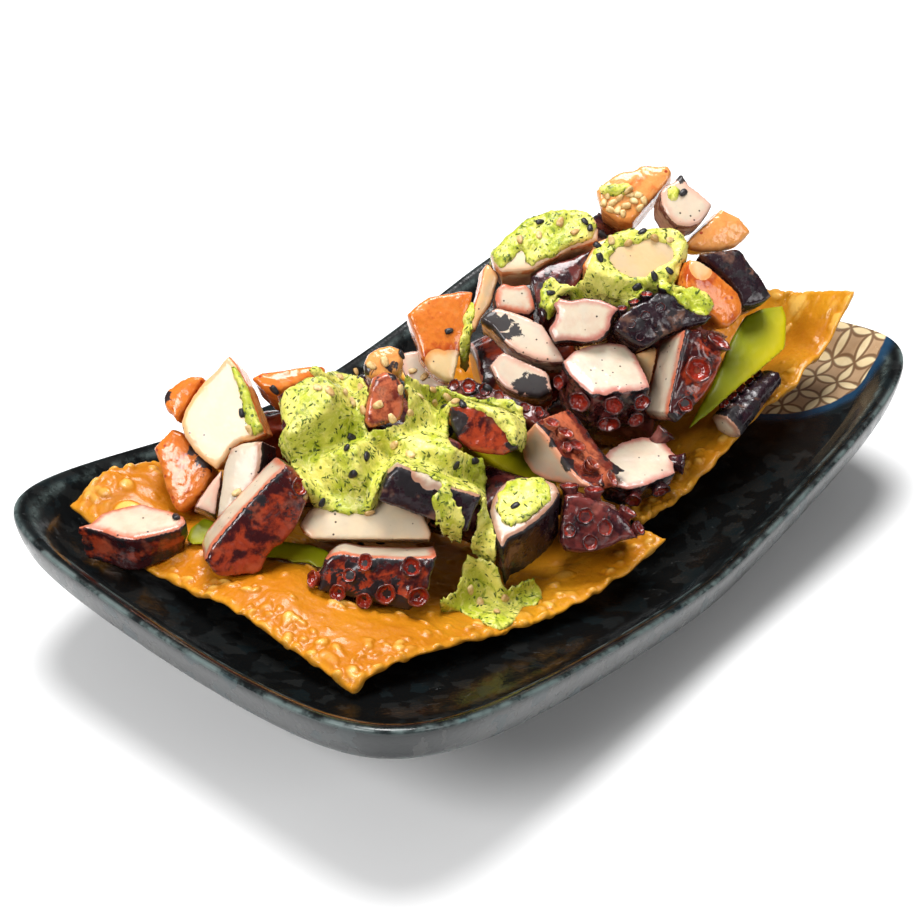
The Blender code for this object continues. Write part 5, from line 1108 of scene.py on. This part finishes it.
def avocado_flesh():
    made, tree, shader = finish("ripe avocado", 0.4, soft=0.05, soft_reach=(0.9, 0.9, 0.3), coat=0.06,
                                coat_roughness=0.2, specular=0.18)
    where = here(tree)
    depth = measure(tree, "depth")
    smear = plus(tree, depth, times(tree, less(tree, cloudy(tree, where, 90.0, 3.0), 0.5), 0.35))
    colour = mixed(tree, between(tree, smear, 0.05, 0.85), rgb(0.20, 0.23, 0.001), rgb(0.46, 0.36, 0.001))
    colour = mixed(tree, between(tree, smear, 0.62, 1.1), colour, rgb(0.66, 0.44, 0.002))
    bruise = between(tree, cloudy(tree, where, 160.0, 4.0, 0.6), 0.6, 0.72)
    colour = mixed(tree, times(tree, bruise, 0.2), colour, rgb(0.20, 0.19, 0.001))
    tree.links.new(colour, shader.inputs["Base Color"])
    bumped(tree, shader, cloudy(tree, where, 520.0, 3.0), 0.1 * MM, 0.5)
    return made


def avocado(name, axis, face, wide, ripe, cell=0.55 * MM):
    """A slice from its solid, edges eased; how near the stone's side a place lies is kept for its
    colour."""
    bm = merged_copy(name)
    body = rounded(bm, cell, 4)
    bm.free()
    co, no = corner_arrays(body)
    x_axis, z_axis = seen(axis), seen(face)
    z_axis = (z_axis - x_axis * z_axis.dot(x_axis)).normalized()
    out = co @ np.array(z_axis.cross(x_axis))
    depth = (out.max() - out) / (wide * MM)
    push = np.array([0.3 * noise.noise(Vector(p) * 120) + 0.08 * noise.noise(Vector(p) * 520) for p in co])
    co += no * (push * MM)[:, None]
    body.vertices.foreach_set("co", co.ravel())
    layer = body.attributes.new("depth", "FLOAT", "POINT")
    layer.data.foreach_set("value", depth.astype(np.float32))
    body.name = name + "_slice"
    body.shade_smooth()
    shown(name + "_slice", body, ripe, "avocado", name)


ripe = avocado_flesh()
avocado("avocado_front", (0.93, -0.34, 0), (0, 0.8, 0.6), 24, ripe)
avocado("avocado_back", (0.5, 0.87, 0), (0.1, 0.1, 1), 19, ripe)
avocado("avocado_middle", (0.8, -0.5, 0), (0, 0.7, 0.7), 22, ripe)


# Herb sauce: thick mayonnaise-like sauce blended with parsley and spooned over the heaps. It coats the
# chunks, sinks between them, hangs in lobes and runs down to a puddle on the front sheet. The outlines
# below are points (x, y) of the 920 by 920 picture, given round what is seen of each pool; the
# bare outlines are what the sauce leaves open inside a pool.

POUR_TILT = math.radians(30)
POUR_LOW, POUR_HIGH = np.array((-62, -52)) * MM, np.array((62, 90)) * MM
SAUCE_STEP = 0.55 * MM
SAUCE_SLOPE = 1.9
SAUCE_CELL = 0.42 * MM
SAUCE_SINK = 0.9 * MM
SAUCE_SHOULDER = 1.3 * MM
HIDDEN_BY = 3.5 * MM
BRIDGING_PASSES = 26
EASING_PASSES = 5
FRONT_SAUCE = (
    ((276, 402), (285, 391), (300, 383), (308, 376), (322, 374), (336, 372), (352, 374), (366, 380),
     (371, 392), (366, 410), (364, 424), (370, 431), (386, 427), (403, 422), (406, 405), (405, 386),
     (401, 369), (410, 374), (420, 381), (432, 386), (446, 386), (460, 393), (480, 398), (500, 397),
     (514, 401), (523, 407), (526, 420), (527, 435), (523, 445), (514, 449), (507, 441), (500, 430),
     (490, 419), (478, 411), (462, 406), (451, 406), (448, 420), (450, 438), (458, 450), (472, 455),
     (484, 458), (487, 475), (486, 495), (490, 515), (496, 535), (500, 552), (496, 560), (484, 556),
     (474, 548), (466, 539), (455, 535), (446, 532), (438, 525), (430, 518), (405, 514), (378, 508),
     (372, 512), (350, 516), (330, 512), (312, 502), (302, 488), (297, 474), (290, 462), (283, 452),
     (277, 440), (284, 425), (281, 412)),
    ((497, 492), (508, 481), (525, 477), (544, 479), (553, 487), (550, 502), (538, 513), (524, 523),
     (511, 529), (501, 521), (495, 506)),
    ((229, 361), (238, 370), (247, 384), (254, 400), (260, 418), (265, 432), (256, 438), (247, 432),
     (244, 415), (240, 400), (235, 385), (230, 372)),
    ((302, 368), (312, 366), (322, 367), (324, 374), (312, 376)),
)
FRONT_BARE = (
    ((396, 463), (412, 470), (428, 476), (442, 484), (436, 492), (428, 496), (432, 506), (434, 514),
     (430, 526), (405, 517), (388, 513), (374, 506), (378, 492), (382, 478), (388, 470)),
    ((452, 488), (482, 496), (477, 512), (470, 538), (461, 538), (466, 522), (463, 508), (453, 500)),
)
PUDDLE = (
    ((466, 552), (478, 556), (494, 560), (500, 566), (503, 576), (507, 585), (520, 581), (532, 575),
     (541, 586), (544, 598), (538, 605), (524, 607), (519, 617), (512, 626), (503, 634), (494, 630),
     (478, 620), (462, 615), (448, 608), (438, 606), (436, 598), (446, 594), (456, 587), (460, 574),
     (462, 562)),
)
ARC_SAUCE = (
    ((489, 254), (500, 243), (510, 233), (522, 223), (534, 216), (550, 211), (568, 209), (584, 210),
     (594, 218), (597, 228), (595, 239), (586, 243), (574, 247), (560, 254), (546, 261), (534, 268),
     (526, 262), (522, 250), (512, 260), (502, 271), (494, 264)),
    ((473, 300), (478, 304), (474, 320), (472, 340), (468, 360), (462, 364), (458, 355), (460, 335),
     (462, 318), (468, 305)),
)
BACK_SAUCE = (
    ((601, 243), (606, 239), (618, 233), (632, 226), (642, 229), (656, 228), (668, 226), (680, 231),
     (687, 236), (688, 246), (689, 258), (684, 264), (679, 272), (676, 284), (690, 287), (700, 288),
     (710, 293), (716, 303), (713, 313), (704, 317), (694, 314), (684, 308), (676, 299), (668, 292),
     (655, 286), (645, 293), (630, 302), (612, 302), (600, 297), (585, 293), (568, 293), (560, 300),
     (548, 310), (538, 308), (540, 296), (541, 283), (552, 277), (560, 284), (575, 284), (584, 276),
     (588, 262), (593, 250)),
    ((597, 189), (604, 184), (616, 183), (630, 184), (634, 190), (625, 196), (610, 198), (600, 196)),
    ((664, 187), (672, 185), (681, 191), (677, 202), (668, 200)),
)
BACK_BARE = (
    ((614, 252), (630, 245), (650, 240), (668, 246), (676, 256), (668, 262), (656, 268), (645, 276),
     (630, 276), (616, 268), (610, 260)),
)


def pictured(points):
    """The points of the picture at which world points are seen."""
    away = points - np.array(EYE)
    share = -LENS_PIXELS / (away @ np.array(VIEW_TOWARDS))
    across, up = away @ np.array(VIEW_RIGHT) * share, away @ np.array(VIEW_UP) * share
    return np.c_[PICTURE_MIDDLE + across, PICTURE_MIDDLE - up]


def depth_inside(outlines, spots):
    """How far inside the nearest of several closed outlines points of the picture lie, less than 0
    outside."""
    best = np.full(len(spots), -1.0)
    for outline in outlines:
        nearest = np.full(len(spots), 1.0 / PICTURE_UNIT)
        inside = np.zeros(len(spots), bool)
        corners = np.array(outline, float)
        for first, second in zip(corners, np.roll(corners, -1, 0)):
            way = second - first
            share = np.clip((spots - first) @ way / (way @ way), 0, 1)
            nearest = np.minimum(nearest, np.linalg.norm(spots - first - share[:, None] * way, axis=1))
            crosses = (first[1] > spots[:, 1]) != (second[1] > spots[:, 1])
            rise = way[1] if abs(way[1]) > 1e-12 else 1e-12
            inside ^= crosses & (spots[:, 0] < first[0] + (spots[:, 1] - first[1]) * way[0] / rise)
        best = np.maximum(best, np.where(inside, nearest, -nearest) * PICTURE_UNIT)
    return best


def poured_sauce(name, outlines, thick, carriers, look, bare=(), calm=1.0):
    """A coat of sauce over what carries it, thick in the middle and rolled at its edge. Its outlines, and
    the spots it leaves bare, are drawn as they are seen from the eye. `calm` under 1 flattens its lumps."""
    level = Vector((VIEW_TOWARDS.x, VIEW_TOWARDS.y, 0)).normalized()
    poured = (Vector((0, 0, 1)) * math.cos(POUR_TILT) + level * math.sin(POUR_TILT)).normalized()
    turn = Matrix((VIEW_RIGHT, poured.cross(VIEW_RIGHT), poured))
    points, faces = [], []
    for mesh in carriers:
        start = len(points)
        points += [turn @ v.co for v in mesh.vertices]
        faces += [[start + i for i in p.vertices] for p in mesh.polygons]
    tree = BVHTree.FromPolygons(points, faces)
    counts = ((POUR_HIGH - POUR_LOW) / SAUCE_STEP).astype(int) + 1
    gx, gy = np.meshgrid(POUR_LOW[0] + np.arange(counts[0]) * SAUCE_STEP,
                         POUR_LOW[1] + np.arange(counts[1]) * SAUCE_STEP, indexing="ij")
    ground = np.full(gx.shape, -1.0)
    for i in range(counts[0]):
        for j in range(counts[1]):
            hit = tree.ray_cast(Vector((gx[i, j], gy[i, j], 0.5)), Vector((0, 0, -1)))
            ground[i, j] = hit[0].z if hit[0] else -1.0
    lie = ground.copy()
    for _ in range(BRIDGING_PASSES):
        for axis, way in ((0, 1), (0, -1), (1, 1), (1, -1)):
            lie = np.maximum(lie, np.roll(lie, way, axis) - SAUCE_SLOPE * SAUCE_STEP)
    for _ in range(EASING_PASSES):
        around = np.roll(lie, 1, 0) + np.roll(lie, -1, 0) + np.roll(lie, 1, 1) + np.roll(lie, -1, 1)
        lie = np.maximum((lie + around) / 5, ground)
    spots = np.c_[gx.ravel(), gy.ravel(), lie.ravel()]
    seen_at = pictured(spots @ np.array(turn))
    ragged = np.array([0.55 * noise.noise(Vector((a * 230, b * 230, 4.0))) + 0.35 * noise.noise(
        Vector((a * 700, b * 700, 7.0))) for a, b in seen_at * PICTURE_UNIT]) * MM
    inside = np.minimum(depth_inside(outlines, seen_at), -depth_inside(bare, seen_at)) + ragged
    eye = turn @ EYE
    for k in np.nonzero(inside > 0)[0]:
        way = Vector(spots[k]) - eye
        hit = tree.ray_cast(eye, way.normalized())
        if hit[0] and way.length - hit[3] > HIDDEN_BY:
            inside[k] = -1.0
    inside = inside.reshape(gx.shape)
    body = np.sqrt(np.clip(inside / SAUCE_SHOULDER, 0, 1))
    lumps = np.array([0.75 + 0.75 * noise.noise(Vector((a * 210, b * 210, 8.0)))
                      + 0.3 * noise.noise(Vector((a * 560, b * 560, 3.0)))
                      for a, b in zip(gx.ravel(), gy.ravel())]).reshape(gx.shape)
    lumps = 0.75 + (lumps - 0.75) * calm
    top = lie + body * np.clip(0.35 + thick * 0.42 * lumps, 0.3, None) * MM
    covered = (inside > 0) & (lie > -0.2)
    index = -np.ones(gx.shape, int)
    cells = covered[:-1, :-1] & covered[1:, :-1] & covered[1:, 1:] & covered[:-1, 1:]
    quads = [((i, j), (i + 1, j), (i + 1, j + 1), (i, j + 1)) for i, j in zip(*np.nonzero(cells))]
    order = sorted({corner for quad in quads for corner in quad})
    for k, corner in enumerate(order):
        index[corner] = k
    count = len(order)
    over = np.array([(gx[c], gy[c], top[c]) for c in order])
    under = over.copy()
    under[:, 2] = [(min(ground[c], lie[c]) if ground[c] > -0.5 else lie[c]) - SAUCE_SINK for c in order]
    under[:, 2] = np.maximum(under[:, 2], over[:, 2] - 6 * MM)
    faces = [[index[c] for c in quad] for quad in quads]
    edges = {(a, b) for f in faces for a, b in zip(f, f[1:] + f[:1])}
    rim = [(a, b) for a, b in sorted(edges) if (b, a) not in edges]
    faces = (faces + [[i + count for i in f[::-1]] for f in faces]
             + [[b, a, a + count, b + count] for a, b in rim])
    bm = bmesh.new()
    verts = [bm.verts.new(turn.transposed() @ Vector(p)) for p in np.concatenate([over, under])]
    for f in faces:
        bm.faces.new([verts[i] for i in f])
    bmesh.ops.recalc_face_normals(bm, faces=bm.faces)
    blanket = rounded(bm, SAUCE_CELL, 4)
    bm.free()
    co, no = corner_arrays(blanket)
    push = np.array([0.32 * noise.noise(Vector(p) * 420) + 0.24 * abs(noise.noise(Vector(p) * 900))
                     + 0.09 * noise.noise(Vector(p) * 2100) for p in co])
    co += no * (push * calm * MM)[:, None]
    blanket.vertices.foreach_set("co", co.ravel())
    blanket.name = name + "_coat"
    blanket.shade_smooth()
    return shown(name + "_coat", blanket, look, "herb_sauce", name)


def herb_sauce():
    """Creamy yellow-green, clouded darker where herbs bled into it, with streaks of chopped leaf."""
    made, tree, shader = finish("green herb sauce", 0.34, soft=0.14, soft_reach=(0.9, 1.0, 0.3), coat=0.14,
                                coat_roughness=0.16, specular=0.3)
    where = here(tree)
    broad = cloudy(tree, where, 85.0, 3.0, 0.6, 1.2)
    fine = cloudy(tree, where, 520.0, 4.0, 0.7, 0.6)
    coarse = cloudy(tree, where, 230.0, 5.0, 0.7, 1.8)
    colour = mixed(tree, between(tree, broad, 0.36, 0.62), rgb(0.76, 0.69, 0.16), rgb(0.42, 0.46, 0.030))
    colour = mixed(tree, times(tree, between(tree, coarse, 0.5, 0.64), 0.7), colour, rgb(0.22, 0.29, 0.014))
    # Painted highlight: pale cream flecks over the sauce stand in for light caught on its lumps.
    colour = mixed(tree, times(tree, between(tree, fine, 0.5, 0.34), 0.6), colour, rgb(0.80, 0.74, 0.28))
    streak = times(tree, between(tree, fine, 0.56, 0.66), between(tree, coarse, 0.42, 0.56))
    colour = mixed(tree, times(tree, streak, 0.8), colour, rgb(0.050, 0.095, 0.006))
    for scale, low, share in ((760.0, 0.86, 0.85), (1250.0, 0.84, 0.7)):
        grit = add(tree, "ShaderNodeTexVoronoi", Vector=where, Scale=scale)
        pick = add(tree, "ShaderNodeSeparateColor", i0=grit.outputs["Color"])
        few = plus(tree, pick.outputs[0], times(tree, less(tree, coarse, 0.5), 1.2))
        leaf = times(tree, rest(tree, between(tree, grit.outputs["Distance"], 0.28, 0.42)),
                     maths(tree, "GREATER_THAN", few, low))
        colour = mixed(tree, times(tree, leaf, share), colour, rgb(0.030, 0.060, 0.005))
    tree.links.new(colour, shader.inputs["Base Color"])
    bumped(tree, shader, plus(tree, fine, coarse), 0.3 * MM, 0.8)
    return made


carriers = [piece.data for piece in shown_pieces() if piece.get("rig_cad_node") is None]
SAUCE = herb_sauce()
front_sauce = poured_sauce("sauce_front", FRONT_SAUCE, 2.4, carriers, SAUCE, FRONT_BARE)
puddle = poured_sauce("sauce_puddle", PUDDLE, 1.4, carriers, SAUCE, calm=0.4)
arc_sauce = poured_sauce("sauce_arc", ARC_SAUCE, 2.0, carriers, SAUCE)
back_sauce = poured_sauce("sauce_back", BACK_SAUCE, 2.0, carriers, SAUCE, BACK_BARE)


# Sesame seeds and chopped leaf: black and pale seeds sprinkled over the dressed heaps, a few of them loose
# on the chunks and the sheets, and bits of parsley caught in the sauce. They lie flat where they fell.
# The seeds' places are points (x, y) of the 920 by 920 picture, one for each seed that is seen.

BLACK_SEEDS = (
    (176, 517), (242, 413), (275, 390), (322, 502), (328, 370), (360, 543), (380, 543), (449, 331),
    (401, 355), (347, 448), (366, 457), (353, 474), (456, 465), (475, 461), (515, 506), (540, 222),
    (590, 228), (585, 222), (598, 246), (600, 258), (551, 293), (683, 193), (642, 232), (654, 276),
    (669, 271), (637, 287), (462, 404), (352, 438), (488, 388),
)
PALE_SEEDS = (
    (361, 387), (363, 410), (340, 378), (345, 392), (400, 390), (410, 413), (420, 397), (395, 445),
    (410, 455), (250, 430), (237, 493), (305, 495), (370, 512), (628, 243), (670, 240), (539, 235),
    (356, 372), (372, 366), (385, 362), (338, 368), (413, 371), (424, 377), (432, 390), (448, 397),
    (352, 402), (378, 405), (392, 418), (366, 425), (330, 392), (318, 388), (434, 403), (455, 402),
    (520, 240), (560, 222), (575, 232), (611, 240), (655, 238), (480, 602), (497, 612), (505, 598),
    (470, 590), (607, 196), (613, 203), (620, 198), (626, 206), (634, 201), (640, 208), (618, 210),
    (630, 195), (611, 210), (623, 214), (638, 195), (604, 203), (644, 201), (628, 190),
)
UNSEEN_SEEDS = 34
LEAF_DENSITY = 0.17 / MM ** 2
HEAP_LOW, HEAP_HIGH = (-75, -45), (75, 50)


def seed_shape(name, long, wide, thick):
    """A closed teardrop lying along X, blunt at one end."""
    bm = bmesh.new()
    rings = []
    for k in range(5):
        t = (k + 0.6) / 5.2 * 2 - 1
        girth = math.sqrt(1 - t * t) * (1 - 0.28 * t)
        rings.append([bm.verts.new((t * long / 2, math.cos(a) * girth * wide / 2,
                                    math.sin(a) * girth * thick / 2))
                      for a in np.linspace(0, 2 * math.pi, 9)[:-1]])
    for first, second in zip(rings, rings[1:]):
        for i in range(8):
            bm.faces.new((first[i], first[(i + 1) % 8], second[(i + 1) % 8], second[i]))
    bm.faces.new(rings[0][::-1])
    bm.faces.new(rings[-1])
    return linked_shape(name, bm)


def leaf_shape():
    """A torn bit of leaf: a thin, bent flake with uneven corners."""
    bm = bmesh.new()
    low, high = [], []
    for k, reach in enumerate((1.0, 0.55, 0.7, 1.1, 0.5, 0.62)):
        x, y = reach * math.cos(k * math.pi / 3), 0.5 * reach * math.sin(k * math.pi / 3)
        low.append(bm.verts.new((x * 0.5 * MM, y * 0.5 * MM, (0.06 * x * x - 0.03) * MM)))
        high.append(bm.verts.new((x * 0.5 * MM, y * 0.5 * MM, (0.06 * x * x + 0.06) * MM)))
    bm.faces.new(high)
    bm.faces.new(low[::-1])
    for k in range(6):
        bm.faces.new((low[k], low[(k + 1) % 6], high[(k + 1) % 6], high[k]))
    return linked_shape("leaf shape", bm)


def linked_shape(name, bm):
    bmesh.ops.recalc_face_normals(bm, faces=bm.faces)
    mesh = bpy.data.meshes.new(name)
    bm.to_mesh(mesh)
    bm.free()
    mesh.shade_smooth()
    made = bpy.data.objects.new(name, mesh)
    bpy.context.scene.collection.objects.link(made)
    return made


def sprinkle_tree(on_surface):
    """Nodes that stand copies of a shape on given points, or on points strewn over a surface, each laid
    along the surface, spun and slightly tilted."""
    tree = bpy.data.node_groups.new("strewn on a surface" if on_surface else "laid on points",
                                    "GeometryNodeTree")
    tree.interface.new_socket("Geometry", in_out="INPUT", socket_type="NodeSocketGeometry")
    for label, kind in (("Shape", "NodeSocketObject"), ("Finish", "NodeSocketMaterial"),
                        ("Smallest", "NodeSocketFloat"), ("Largest", "NodeSocketFloat"),
                        ("Density", "NodeSocketFloat"), ("Seed", "NodeSocketInt")):
        tree.interface.new_socket(label, in_out="INPUT", socket_type=kind)
    tree.interface.new_socket("Geometry", in_out="OUTPUT", socket_type="NodeSocketGeometry")
    given = tree.nodes.new("NodeGroupInput").outputs
    if on_surface:
        strewn = add(tree, "GeometryNodeDistributePointsOnFaces", Mesh=given["Geometry"],
                     Density=given["Density"], Seed=given["Seed"])
        points, way = strewn.outputs["Points"], strewn.outputs["Normal"]
    else:
        points = given["Geometry"]
        way = add(tree, "GeometryNodeInputNamedAttribute", {"data_type": "FLOAT_VECTOR"},
                  Name="way").outputs[0]
    laid = add(tree, "FunctionNodeAlignRotationToVector", {"axis": "Z"}, Vector=way).outputs[0]
    spin = add(tree, "FunctionNodeRandomValue", {"data_type": "FLOAT_VECTOR"}, i0=(-0.22, -0.22, 0.0),
               i1=(0.22, 0.22, 6.283), Seed=given["Seed"]).outputs[0]
    turned = add(tree, "FunctionNodeRotateRotation", {"rotation_space": "LOCAL"}, i0=laid,
                 i1=add(tree, "FunctionNodeEulerToRotation", i0=spin).outputs[0]).outputs[0]
    size = add(tree, "FunctionNodeRandomValue", {"data_type": "FLOAT"}, i2=given["Smallest"],
               i3=given["Largest"], Seed=given["Seed"]).outputs[1]
    shape = add(tree, "GeometryNodeObjectInfo", Object=given["Shape"]).outputs["Geometry"]
    stood = add(tree, "GeometryNodeInstanceOnPoints", Points=points, Instance=shape, Rotation=turned,
                Scale=size)
    real = add(tree, "GeometryNodeRealizeInstances", Geometry=stood.outputs[0])
    done = add(tree, "GeometryNodeSetMaterial", Geometry=real.outputs[0], Material=given["Finish"])
    out = tree.nodes.new("NodeGroupOutput")
    tree.links.new(done.outputs[0], out.inputs[0])
    return tree


def sprinkled(name, mesh, tree, look, slot, settings):
    """The plain mesh that the nodes make, shown as one piece."""
    holder = bpy.data.objects.new("sprinkling", mesh)
    bpy.context.scene.collection.objects.link(holder)
    nodes = holder.modifiers.new("sprinkled", "NODES")
    nodes.node_group = tree
    for item in tree.interface.items_tree:
        if item.in_out == "INPUT" and item.name in settings:
            nodes[item.identifier] = settings[item.name]
    made = bpy.data.meshes.new_from_object(holder.evaluated_get(bpy.context.evaluated_depsgraph_get()))
    bpy.data.objects.remove(holder)
    made.name = name
    return shown(name, made, look, slot)


def fallen(name, spots, sides, tree, lift):
    """Bare points where seeds lie, from places drawn as seen from the eye and from others unseen by it."""
    places, ways = [], []
    for x, y in spots:
        hit, normal, _, _ = tree.ray_cast(EYE, sight(x, y).normalized())
        if hit is not None:
            places.append(hit + normal * lift)
            ways.append(normal)
    for x, y in sides:
        hit, normal, _, _ = tree.ray_cast(Vector((x * MM, y * MM, 0.3)), Vector((0, 0, -1)))
        if hit is None:
            continue
        away = hit - EYE
        blocked = tree.ray_cast(EYE, away.normalized())
        if blocked[3] < away.length - 1 * MM:
            places.append(hit + normal * lift)
            ways.append(normal)
    mesh = bpy.data.meshes.new(name)
    mesh.from_pydata([tuple(p) for p in places], [], [])
    layer = mesh.attributes.new("way", "FLOAT_VECTOR", "POINT")
    layer.data.foreach_set("vector", np.array(ways, np.float32).ravel())
    return mesh


def seed_skin(name, dark, light, rough):
    made, tree, shader = finish(name, rough, coat=0.1, specular=0.3)
    where = here(tree)
    grain = cloudy(tree, where, 900.0, 3.0)
    tint = cloudy(tree, where, 240.0, 2.0)
    tone = between(tree, plus(tree, times(tree, grain, 0.5), times(tree, tint, 0.5)), 0.38, 0.64)
    colour = mixed(tree, tone, rgb(*dark), rgb(*light))
    tree.links.new(colour, shader.inputs["Base Color"])
    bumped(tree, shader, grain, 0.08 * MM, 0.6)
    return made


chance = random.Random("seeds")
unseen = [(chance.uniform(HEAP_LOW[0], HEAP_HIGH[0]), chance.uniform(HEAP_LOW[1], HEAP_HIGH[1]))
          for _ in range(UNSEEN_SEEDS)]
dressed = search_tree([piece.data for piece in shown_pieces() if piece.get("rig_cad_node") is None])
seed = seed_shape("seed shape", 3.3 * MM, 1.9 * MM, 1.0 * MM)
laid = sprinkle_tree(False)
for name, spots, sides, skin in (
    ("sesame_black", BLACK_SEEDS, unseen[::2],
     seed_skin("black sesame", (0.008, 0.007, 0.009), (0.025, 0.022, 0.025), 0.42)),
    ("sesame_pale", PALE_SEEDS, unseen[1::2],
     seed_skin("pale sesame", (0.46, 0.26, 0.085), (0.74, 0.56, 0.27), 0.4)),
):
    sprinkled(name, fallen(name, spots, sides, dressed, 0.22 * MM), laid, skin, "herb_sauce",
              {"Shape": seed, "Finish": skin, "Smallest": 0.82, "Largest": 1.05, "Seed": 4})
leaf = leaf_shape()
green = seed_skin("chopped leaf", (0.022, 0.045, 0.003), (0.12, 0.19, 0.014), 0.5)
strewn = sprinkle_tree(True)
coats = bmesh.new()
for coat in (front_sauce, puddle, arc_sauce, back_sauce):
    coats.from_mesh(coat.data)
coated = bpy.data.meshes.new("coats")
coats.to_mesh(coated)
coats.free()
sprinkled("chopped_leaf", coated, strewn, green, "herb_sauce",
          {"Shape": leaf, "Finish": green, "Smallest": 0.45, "Largest": 1.5, "Density": LEAF_DENSITY,
           "Seed": 1})
bpy.data.objects.remove(seed)
bpy.data.objects.remove(leaf)


# Table, lamps and camera: a plain pale table under soft studio lamps, seen from above the plate's near
# left corner. They aren't part of the object.

PICTURE_PIXELS = 920
SENSOR = 36.0


def lamp(name, place, aim, size, power, colour=(1, 1, 1)):
    light = bpy.data.lights.new(name, "AREA")
    light.shape = "DISK"
    light.size = size
    light.energy = power
    light.color = colour
    made = bpy.data.objects.new(name, light)
    made.location = place
    made.rotation_euler = (Vector(aim) - Vector(place)).to_track_quat("-Z", "Y").to_euler()
    bpy.context.scene.collection.objects.link(made)


def table_top():
    made, tree, shader = finish("pale table", 0.9, specular=0.1)
    grain = cloudy(tree, here(tree), 6.0, 2.0)
    colour = mixed(tree, grain, rgb(0.86, 0.86, 0.86), rgb(0.90, 0.90, 0.90))
    tree.links.new(colour, shader.inputs["Base Color"])
    half = 3.0
    mesh = bpy.data.meshes.new("table")
    mesh.from_pydata([(-half, -half, 0), (half, -half, 0), (half, half, 0), (-half, half, 0)], [],
                     [(0, 1, 2, 3)])
    mesh.materials.append(made)
    table = bpy.data.objects.new("table", mesh)
    bpy.context.scene.collection.objects.link(table)


def soft_room():
    world = bpy.data.worlds.new("soft room")
    world.use_nodes = True
    tree = world.node_tree
    up = add(tree, "ShaderNodeSeparateXYZ",
             Vector=add(tree, "ShaderNodeTexCoord").outputs["Generated"]).outputs["Z"]
    sky = mixed(tree, between(tree, up, 0.55, 0.95), rgb(0.10, 0.10, 0.105), rgb(1.0, 1.0, 1.0))
    background = tree.nodes["Background"]
    tree.links.new(sky, background.inputs["Color"])
    background.inputs["Strength"].default_value = 0.4
    bpy.context.scene.world = world


def photo_camera():
    lens = bpy.data.cameras.new("camera")
    lens.sensor_width = SENSOR
    lens.lens = SENSOR * LENS_PIXELS / PICTURE_PIXELS
    lens.clip_start = 0.01
    made = bpy.data.objects.new("camera", lens)
    made.location = EYE
    made.rotation_euler = (-VIEW_TOWARDS).to_track_quat("-Z", "Y").to_euler()
    bpy.context.scene.collection.objects.link(made)
    bpy.context.scene.camera = made


table_top()
soft_room()
lamp("overhead lamp", (0.1, 0.15, 0.95), (0, 0, 0.03), 0.55, 13)
lamp("side lamp", (-0.75, 0.05, 0.6), (0, 0, 0.04), 0.4, 6)
lamp("front lamp", (0.05, -0.9, 0.55), (0, 0, 0.04), 0.4, 2.2)
photo_camera()
bpy.context.scene.view_settings.view_transform = "Standard"
